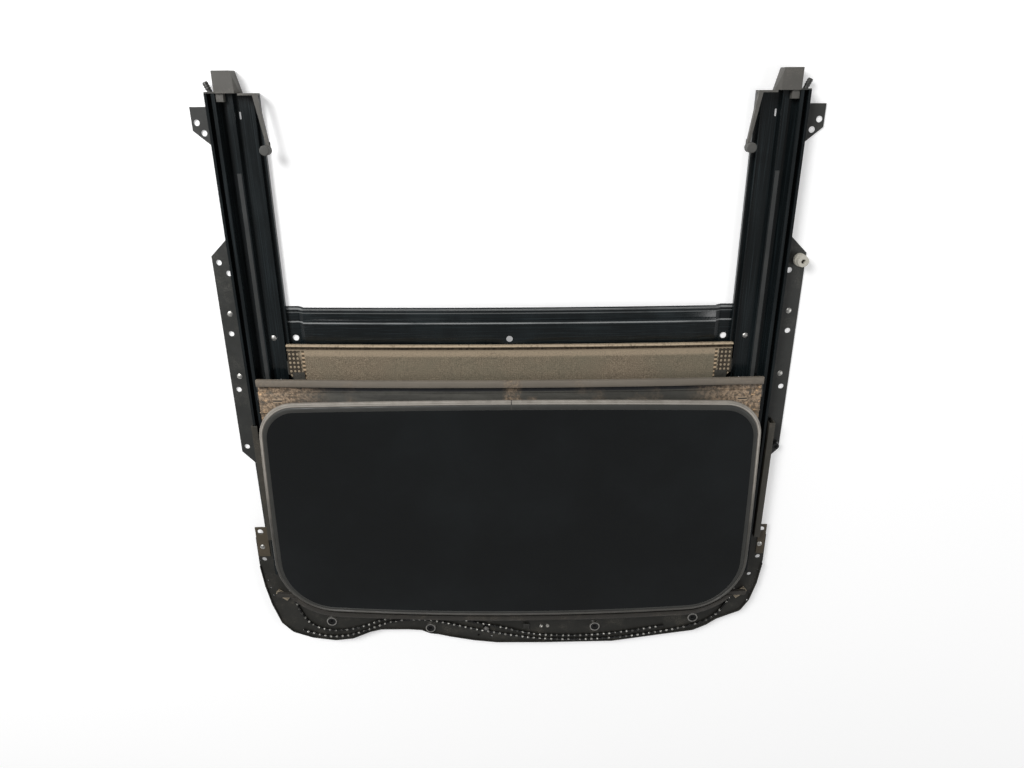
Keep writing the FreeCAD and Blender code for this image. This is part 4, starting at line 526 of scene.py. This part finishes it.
def gutter_metal(name, base, edge, dirt):
    """Dull gutter metal: pale raised strip, painted shade in the groove, stained trough, rust and dust in the
    corners and middle, and a pale-edged slit near each end with painted shade inside it."""
    f = Finish(name)
    x, y = f.axis("X"), f.axis("Y")
    far = f.sum("ABSOLUTE", x)
    streaks = f.noise(46, 5, 0.6, stretch=(0.18, 1.4, 1))
    shade = f.mix(f.band(streaks, 0.3, 0.75), shaded(base, 0.62), shaded(base, 1.35))
    hem = f.mix(f.band(y, *HEM_EDGE), shaded(edge, 0.75), edge)
    hem = f.mix(f.sum("MULTIPLY", f.band(streaks, 0.35, 0.7), 0.5), hem, shaded(edge, 1.35))
    body = f.mix(f.band(y, *STRIP_EDGE), shade, hem)
    # The groove under the raised strip is painted near black: painted shade where the strip shadows the
    # sunken groove.
    groove_shade = f.sum("MULTIPLY", f.band(y, *GROOVE_EDGE), f.band(y, *STRIP_EDGE, 1, 0))
    body = f.mix(groove_shade, body, (0.0055, 0.006, 0.008))
    tan = f.band(far, *STAINED_ENDS)
    beside = f.sum("ABSOLUTE", f.sum("SUBTRACT", x, MIDDLE_STAIN_X))
    middle = f.sum("MULTIPLY", f.band(beside, 0.008, 0.019, 1, 0), f.band(y, 0.01, 0.028, 1, 0.45))
    beside = f.sum("ABSOLUTE", f.sum("SUBTRACT", x, SECOND_STAIN_X))
    second = f.sum("MULTIPLY", f.band(beside, 0.003, 0.011, 0.8, 0), f.band(y, 0.012, 0.022, 1, 0))
    spots = f.sum("MULTIPLY", f.band(f.noise(12, 3, seed=9), 0.57, 0.66), f.band(y, 0.0, 0.02, 0.7, 0.15))
    mask = f.sum("MAXIMUM", f.sum("MULTIPLY", tan, f.band(y, 0.03, 0.037, 1, 0.12)),
                 f.sum("MAXIMUM", f.sum("MAXIMUM", middle, second), spots))
    rust = f.mix(f.band(f.noise(210, 6, 0.7, seed=4), 0.4, 0.6), (0.1, 0.07, 0.045), dirt)
    bright = f.sum("MULTIPLY", f.band(f.noise(150, 4, 0.7, seed=11), 0.56, 0.66),
                   f.band(far, *BRIGHT_RUST))
    rust = f.mix(bright, rust, (0.62, 0.4, 0.22))
    amount = f.sum("MULTIPLY", mask, f.band(f.noise(95, 6, 0.7, seed=1), 0.3, 0.56, 0.15, 1))
    body = f.mix(amount, body, rust)
    near_slit = f.band(f.sum("ABSOLUTE", f.sum("SUBTRACT", far, SLIT_X)), 0.007, 0.009, 1, 0)
    bow = f.sum("ABSOLUTE", f.sum("SUBTRACT", y, SLIT_Y))
    rim = f.sum("MULTIPLY", near_slit, f.band(bow, 0.0022, 0.0032, 1, 0))
    body = f.mix(rim, body, (0.4, 0.3, 0.2))
    # The slit's inside is painted near black: painted shade in an opening that the solid does not have.
    gap = f.sum("MULTIPLY", near_slit, f.band(bow, 0.001, 0.0017, 1, 0))
    body = f.mix(gap, body, (0.006, 0.005, 0.004))
    f.set(Base_Color=body, Roughness=f.band(f.noise(80, 4), 0.3, 0.7, 0.45, 0.8),
          Normal=f.bump(f.noise(800, 4, 0.65), 0.4, 0.0002, f.bump(amount, 0.5, 0.0004)))
    return f


def shade_cloth(name, base):
    """Needled fibre cloth: matted short fibres, faint weave rows, pale and dark flecks, dotted ends with
    painted shade in their holes, and a paler turned edge along the rear."""
    f = Finish(name)
    x, y = f.axis("X"), f.axis("Y")
    far = f.sum("ABSOLUTE", x)
    weave = f.sum("MULTIPLY", f.wave(96, "X", 3.0), f.wave(96, "Y", 3.0))
    fibres = f.noise(620, 4, 0.75)
    stain = f.noise(7, 5, 0.6, seed=6)
    body = f.mix(f.band(fibres, 0.36, 0.64), shaded(base, 0.5), shaded(base, 1.5))
    body = f.mix(f.sum("MULTIPLY", f.band(weave, 0.2, 0.7), 0.4), body, shaded(base, 0.5))
    body = f.mix(f.band(stain, 0.35, 0.7, 0, 0.55), body, (base[0] * 0.7, base[1] * 0.84, base[2] * 0.86))
    turned = f.sum("MULTIPLY", f.band(y, *SHADE_TURNED_EDGE), f.band(fibres, 0.3, 0.6, 0.35, 1))
    body = f.mix(turned, body, shaded(base, 1.75))
    dots = f.sum("MULTIPLY", f.wave(47, "X"), f.wave(41, "Y"))
    # Dark dots with pale rims: the dark is painted shade inside the perforations.
    holes_with_painted_shade = f.mix(f.band(dots, 0.3, 0.5), shaded(base, 0.22), shaded(base, 1.6))
    end = f.sum("MULTIPLY", f.band(far, *SHADE_DOTTED_ENDS),
                f.band(f.noise(22, 2, seed=3), 0.35, 0.5, 0.25, 1))
    body = f.mix(end, body, holes_with_painted_shade)
    row = f.band(f.sum("ABSOLUTE", f.sum("SUBTRACT", far, SHADE_DOT_ROW_X)), 0.0018, 0.0028, 1, 0)
    beads = f.mix(f.band(f.wave(44, "Y", 0.8), 0.45, 0.7), (0.05, 0.036, 0.022), (0.5, 0.37, 0.24))
    body = f.mix(f.sum("MULTIPLY", row, 0.85), body, beads)
    f.set(Base_Color=body, Roughness=0.95, Sheen_Weight=0.15, Sheen_Roughness=0.5, Specular_IOR_Level=0.2,
          Normal=f.bump(fibres, 0.8, 0.0006, f.bump(f.sum("MULTIPLY", dots, end), 0.8, 0.001)))
    return f


def lip_finish(name, cloth):
    """The rolled lip, by the distance across its section: a pale frayed crest with a painted highlight
    along it, and painted shade in the hollow ahead of it."""
    f = Finish(name)
    back = f.across("Y")
    fray = f.noise(260, 4, 0.7, stretch=(1, 0.4, 0.4))
    # Painted highlight along the crest, broken up by the frayed fibres.
    crest = f.sum("MULTIPLY", f.band(back, 0.3, 0.36, 1, 0), f.band(fray, 0.3, 0.5, 0.4, 1))
    # Near black base colour: painted shade in the hollow ahead of the crest.
    body = f.mix(f.band(fray, 0.35, 0.65), (0.02, 0.014, 0.008), (0.075, 0.055, 0.035))
    body = f.mix(crest, body, shaded(cloth, 2.2))
    body = f.mix(f.band(back, 0.8, 0.86), body, shaded(cloth, 1.3))
    f.set(Base_Color=body, Roughness=0.85, Specular_IOR_Level=0.25, Normal=f.bump(fray, 0.6, 0.0004))
    return f


def seal_finish(name, base):
    """Moulded rubber: a dusty bead, paler towards the rear with painted light and dust, a painted highlight
    along its crest at the rear, and a dark inner part, by the share of the way in from the outside."""
    f = Finish(name)
    share = f.across("Y")
    # Paler towards the rear: dust together with painted light, where the rear side of the bead faces the main
    # lamp.
    rear = f.band(f.axis("Y"), *SEAL_LIT_AND_DUSTY)
    mottle = f.noise(40, 5, 0.65)
    dull = f.mix(mottle, shaded(base, 0.75), shaded(base, 1.25))
    dust_and_light = f.mix(f.band(mottle, 0.3, 0.7), (0.2, 0.18, 0.155), (0.3, 0.275, 0.24))
    lit_and_dusty_bead = f.sum("MULTIPLY", f.band(share, 0.42, 0.47, 1, 0), f.band(rear, 0, 1, 0.12, 0.95))
    body = f.mix(lit_and_dusty_bead, dull, dust_and_light)
    # A painted highlight line along the bead's crest, strongest at the rear.
    line = f.band(f.sum("ABSOLUTE", f.sum("SUBTRACT", share, 0.3)), 0.03, 0.07, 1, 0)
    body = f.mix(f.sum("MULTIPLY", line, f.band(rear, 0.2, 1, 0, 0.7)), body, (0.5, 0.47, 0.42))
    aside = f.sum("ABSOLUTE", f.sum("SUBTRACT", f.axis("X"), SEAL_BREAK_X))
    break_at = f.band(aside, 0.0006, 0.0012, 1, 0)
    body = f.mix(f.sum("MULTIPLY", break_at, f.band(rear, 0.9, 1)), body, (0.05, 0.045, 0.04))
    f.set(Base_Color=body, Roughness=f.band(f.noise(50, 4), 0.3, 0.7, 0.45, 0.65),
          Normal=f.bump(f.noise(1600, 2, 0.6), 0.3, 0.0001))
    return f


def cable_finish(name, base):
    """Dark greased wire with glints on it in short dashes along the cable."""
    f = Finish(name)
    along = f.across("X")
    dash = f.sum("SINE", f.sum("MULTIPLY", along, 2 * math.pi / GLINT_SPACING))
    broken = f.band(f.noise(70, 3, 0.6), 0.38, 0.56)
    glint = f.sum("MULTIPLY", f.band(dash, 0.3, 0.8), broken)
    f.set(Base_Color=f.mix(glint, shaded(base, 0.5), (0.42, 0.41, 0.38)), Metallic=0.75,
          Roughness=f.band(f.noise(400, 3), 0.3, 0.7, 0.28, 0.5))
    return f


def glass_finish(name, base):
    """Polished dark glass with a trace of dust."""
    f = Finish(name)
    dust = f.sum("MULTIPLY", f.band(f.noise(1400, 2, 0.6), 0.66, 0.74), f.band(f.noise(5, 4, 0.6), 0.4, 0.7))
    film = f.band(f.noise(4, 5, 0.6, seed=8), 0.35, 0.75)
    body = f.mix(film, base, shaded(base, 2.1))
    f.set(Base_Color=f.mix(f.sum("MULTIPLY", dust, 0.1), body, (0.3, 0.3, 0.28)),
          Roughness=f.band(film, 0, 1, 0.03, 0.08), IOR=1.52, Specular_IOR_Level=0.42)
    return f


def rubber(name, base, rough):
    """Moulded rubber with dust held in its grain."""
    f = Finish(name)
    chalk = f.sum("MULTIPLY", f.band(f.noise(30, 5, 0.65), 0.4, 0.75), f.band(f.noise(900, 3), 0.4, 0.7))
    mottle = f.mix(f.noise(11, 4), shaded(base, 0.8), shaded(base, 1.2))
    f.set(Base_Color=f.mix(f.sum("MULTIPLY", chalk, 0.35), mottle, shaded(base, 3.2)),
          Roughness=f.band(f.noise(50, 4), 0.3, 0.7, rough - 0.08, rough + 0.12),
          Normal=f.bump(f.noise(1600, 2, 0.6), 0.3, 0.0001))
    return f


def foam_finish(name, base):
    """Open foam: cell pits and a soiled tint."""
    f = Finish(name)
    cells = f.tree.nodes.new("ShaderNodeTexVoronoi")
    cells.inputs["Scale"].default_value = 900
    f.tree.links.new(f.place, cells.inputs["Vector"])
    pits = cells.outputs["Distance"]
    soiled = f.mix(f.band(f.noise(90, 5, 0.7), 0.3, 0.7), shaded(base, 0.6), shaded(base, 1.25))
    f.set(Base_Color=soiled, Roughness=0.95, Normal=f.bump(pits, 0.9, 0.0008), Specular_IOR_Level=0.15)
    return f


def finishes(c):
    """The materials by the record's material slot."""
    black = (0.012, 0.0125, 0.012)
    return {
        "rail_black": gloss_black("rail_gloss_black", c.rail, "Y"),
        "cross_black": gloss_black("cross_member_gloss_black", c.rail, "X", HIGHLIGHT_LINES),
        "strip_grey": dusty("slide_strip_grey", c.strip, 0.42, amount=0.12, grain=1500),
        "flange_steel": dusty("flange_dull_coat", c.flange, 0.5, (0.12, 0.115, 0.1), 0.5),
        "cap_grey": dusty("end_cap_moulded", c.cap, 0.62, (0.24, 0.22, 0.19), 0.4),
        "nipple_black": dusty("drain_nipple_moulded", (0.04, 0.04, 0.038), 0.4),
        "buffer_rubber": rubber("buffer_rubber", (0.07, 0.069, 0.064), 0.7),
        "frame_black": dusty("front_frame_moulded", c.frame, 0.42, (0.14, 0.125, 0.1), 0.5),
        "plate_steel": dusty("side_plate_stained", c.plate, 0.45, (0.12, 0.09, 0.06), 0.6),
        "bush_rubber": rubber("bush_rubber", (0.008, 0.008, 0.008), 0.45),
        "bush_metal": worn_metal("bush_ring_plated", (0.72, 0.7, 0.66), 0.25),
        "foam_beige": foam_finish("corner_foam", c.foam),
        "adjuster_white": dusty("adjuster_natural", c.adjuster, 0.4, (0.28, 0.24, 0.18), 0.5),
        "knob_black": dusty("flange_plug_black", black, 0.3),
        "cover_grey": dusty("cable_cover_moulded", c.cover, 0.5, (0.16, 0.13, 0.095), 0.5),
        "rivet_steel": worn_metal("rivet_plated", (0.62, 0.61, 0.58), 0.3),
        "cable_steel": cable_finish("cable_wire_dark", (0.03, 0.03, 0.029)),
        "pinion_steel": worn_metal("pinion_machined", (0.45, 0.44, 0.42), 0.25),
        "motor_plastic": dusty("motor_case_moulded", black, 0.5),
        "motor_steel": worn_metal("motor_can_plated", (0.4, 0.4, 0.39), 0.35),
        "carriage_steel": worn_metal("carriage_plated", (0.11, 0.11, 0.108), 0.4),
        "gutter_metal": gutter_metal("gutter_stained", c.gutter, c.edge, c.dirt),
        "pane_glass": glass_finish("pane_dark_glass", c.glass),
        "seal_rubber": seal_finish("seal_rubber", c.seal),
        "shade_cloth": shade_cloth("shade_fibre_cloth", c.shade),
        "shade_plastic": lip_finish("shade_lip_cloth", c.shade),
        "deflector_plastic": dusty("deflector_moulded", c.deflector, 0.5, (0.15, 0.13, 0.1), 0.5),
    }


def paint(obj, finish):
    """One material on a whole object."""
    obj.data.materials.clear()
    obj.data.materials.append(finish.material)


def soften(obj, width):
    """Welds a node's loose triangles, joins its flat faces and rounds its edges, all live."""
    weld = obj.modifiers.new("Weld", "WELD")
    weld.merge_threshold = WELD_REACH
    flat = obj.modifiers.new("Flat faces", "DECIMATE")
    flat.decimate_type = "DISSOLVE"
    flat.angle_limit = math.radians(FLAT_DEGREES)
    bevel = obj.modifiers.new("Edge rounding", "BEVEL")
    bevel.width = width
    bevel.segments = 2
    bevel.limit_method = "ANGLE"
    bevel.angle_limit = math.radians(SHARP_DEGREES)


# The finishes by material slot, which the first operator fills in.
FINISH = {}

# Nodes whose edges are rounded, by the start of their names, and the moulded pieces of the sunshade.
ROUNDED = ("guide_rail", "rear_cross_member", "rail_end_cap", "end_stop_arm", "side_flange",
           "rear_bracket", "front_side_plate", "rear_gutter", "gutter_end", "deflector", "cable_cover",
           "front_frame", "motor_housing", "drain_nipple", "adjuster", "carriage")
SHADE_SLIDERS = ("shade_shoes", "shade_clips")


class SUNROOF_OT_finishes(bpy.types.Operator):
    """Puts its finish on every solid of the unit and rounds its edges"""
    bl_idname = "sunroof.finishes"
    bl_label = "Finish the Solids"

    def execute(self, context):
        FINISH.update(finishes(context.scene.sunroof_colours))
        width = context.scene.sunroof_sizes.edge_radius
        for entry in frame["record"]["subparts"]:
            node = NODES[entry["node"]]
            paint(node, FINISH[entry["material_slot"]])
            if entry["node"].startswith(ROUNDED):
                soften(node, width)
        slider = dusty("shade_slider_moulded", (0.035, 0.033, 0.027), 0.6)
        for name in SHADE_SLIDERS:
            paint(NODES[name], slider)
        return {"FINISHED"}


class SUNROOF_OT_cables(bpy.types.Operator):
    """Winds the two drive cables along their routes on the front frame"""
    bl_idname = "sunroof.cables"
    bl_label = "Wind the Drive Cables"

    def execute(self, context):
        sizes = context.scene.sunroof_sizes
        wound_cable("wound_cable_left", LEFT_CABLE, "drive_cable_left", sizes)
        wound_cable("wound_cable_right", RIGHT_CABLE, "drive_cable_right", sizes)
        return {"FINISHED"}


class SUNROOF_OT_seal(bpy.types.Operator):
    """Carries the seal's section round the glass"""
    bl_idname = "sunroof.seal"
    bl_label = "Mould the Seal"

    def execute(self, context):
        moulded_seal()
        return {"FINISHED"}


class SUNROOF_OT_lip(bpy.types.Operator):
    """Rolls the sunshade's rear lip"""
    bl_idname = "sunroof.lip"
    bl_label = "Roll the Sunshade's Lip"

    def execute(self, context):
        rolled_lip()
        return {"FINISHED"}


class SUNROOF_OT_stage(bpy.types.Operator):
    """Adds the pale floor, the soft lamps, the world and the camera"""
    bl_idname = "sunroof.stage"
    bl_label = "Set the Stage"

    def execute(self, context):
        add_floor()
        add_lamps()
        add_world(context.scene)
        add_camera(context.scene)
        context.scene.view_settings.view_transform = "Standard"
        return {"FINISHED"}


def add_floor():
    """A flat square floor under the unit, shown near white but keeping its shadow."""
    sides = ((-1, -1), (1, -1), (1, 1), (-1, 1))
    corners = [(x * FLOOR_HALF, y * FLOOR_HALF, -FLOOR_DROP) for x, y in sides]
    mesh = bpy.data.meshes.new("studio_floor")
    mesh.from_pydata(corners, [], [(0, 1, 2, 3)])
    floor = bpy.data.objects.new("studio_floor", mesh)
    bpy.context.scene.collection.objects.link(floor)
    material = bpy.data.materials.new("studio_floor")
    material.use_nodes = True
    tree = material.node_tree
    shader = tree.nodes["Principled BSDF"]
    shader.inputs["Base Color"].default_value = FLOOR_COLOUR
    shader.inputs["Roughness"].default_value = 0.9
    shader.inputs["Specular IOR Level"].default_value = 0.0
    rays = tree.nodes.new("ShaderNodeLightPath")
    seen = tree.nodes.new("ShaderNodeMath")
    seen.operation = "MAXIMUM"
    tree.links.new(rays.outputs["Is Camera Ray"], seen.inputs[0])
    through = tree.nodes.new("ShaderNodeMath")
    through.operation = "MAXIMUM"
    tree.links.new(rays.outputs["Is Glossy Ray"], through.inputs[0])
    tree.links.new(rays.outputs["Is Transmission Ray"], through.inputs[1])
    tree.links.new(through.outputs[0], seen.inputs[1])
    lift = tree.nodes.new("ShaderNodeMath")
    lift.operation = "MULTIPLY"
    lift.inputs[1].default_value = FLOOR_GLOW
    tree.links.new(seen.outputs[0], lift.inputs[0])
    shader.inputs["Emission Color"].default_value = (1, 1, 1, 1)
    tree.links.new(lift.outputs[0], shader.inputs["Emission Strength"])
    mesh.materials.append(material)


def add_lamps():
    """Two broad soft lamps: the main one behind the unit and towards its right side, and a weaker one
    across."""
    for name, place, size, power in LAMPS:
        data = bpy.data.lights.new(name, "AREA")
        data.shape = "DISK"
        data.size = size
        data.energy = power
        lamp = bpy.data.objects.new(name, data)
        lamp.location = place
        lamp.rotation_euler = (Vector((0, 0, 0)) - Vector(place)).to_track_quat("-Z", "Y").to_euler()
        bpy.context.scene.collection.objects.link(lamp)


def add_world(scene):
    """A grey sky over white surroundings: its strength falls from the horizon up, as in a room with a dull
    ceiling."""
    world = bpy.data.worlds.new("studio_world")
    world.use_nodes = True
    tree = world.node_tree
    back = tree.nodes["Background"]
    place = tree.nodes.new("ShaderNodeTexCoord")
    height = tree.nodes.new("ShaderNodeSeparateXYZ")
    tree.links.new(place.outputs["Generated"], height.inputs[0])
    strength = tree.nodes.new("ShaderNodeMapRange")
    strength.interpolation_type = "SMOOTHSTEP"
    for socket, number in zip(strength.inputs[1:5], SKY_HEIGHTS + SKY_STRENGTHS):
        socket.default_value = number
    tree.links.new(height.outputs["Z"], strength.inputs[0])
    tree.links.new(strength.outputs[0], back.inputs["Strength"])
    back.inputs["Color"].default_value = (1, 1, 1, 1)
    scene.world = world


def add_camera(scene):
    """The photograph's viewpoint: above the unit's rear end, looking down and ahead, turned slightly."""
    forward = Vector(CAMERA_FORWARD)
    up = Vector(CAMERA_UP)
    data = bpy.data.cameras.new("camera")
    data.sensor_width = SENSOR_WIDTH
    data.lens = FOCUS_PIXELS / IMAGE_WIDTH * SENSOR_WIDTH
    data.clip_start = 0.01
    camera = bpy.data.objects.new("camera", data)
    right = forward.cross(up)
    turn = Matrix((right, up, -forward)).transposed()
    turn = turn @ Matrix.Rotation(math.radians(CAMERA_ROLL), 3, "Z")
    camera.matrix_world = Matrix.Translation(Vector(CAMERA_PLACE)) @ turn.to_4x4()
    scene.collection.objects.link(camera)
    scene.camera = camera


class SUNROOF_PT_panel(bpy.types.Panel):
    """Lists the sunroof's settings and steps"""
    bl_idname = "SUNROOF_PT_panel"
    bl_label = "Sunroof"
    bl_space_type = "VIEW_3D"
    bl_region_type = "UI"
    bl_category = "Sunroof"

    def draw(self, context):
        for group in (context.scene.sunroof_colours, context.scene.sunroof_sizes):
            for name in group.bl_rna.properties.keys():
                if name not in ("rna_type", "name"):
                    self.layout.prop(group, name)
        for step in STEPS:
            self.layout.operator(step.bl_idname)


STEPS = (SUNROOF_OT_finishes, SUNROOF_OT_cables, SUNROOF_OT_seal, SUNROOF_OT_lip, SUNROOF_OT_stage)
CLASSES = (SunroofColours, SunroofSizes) + STEPS + (SUNROOF_PT_panel,)


def register():
    for cls in CLASSES:
        bpy.utils.register_class(cls)
    bpy.types.Scene.sunroof_colours = bpy.props.PointerProperty(type=SunroofColours)
    bpy.types.Scene.sunroof_sizes = bpy.props.PointerProperty(type=SunroofSizes)


def unregister():
    del bpy.types.Scene.sunroof_sizes
    del bpy.types.Scene.sunroof_colours
    for cls in reversed(CLASSES):
        bpy.utils.unregister_class(cls)


def main():
    register()
    for step in STEPS:
        group, name = step.bl_idname.split(".")
        getattr(getattr(bpy.ops, group), name)()
    bpy.context.view_layer.update()


if __name__ == "__main__":
    main()
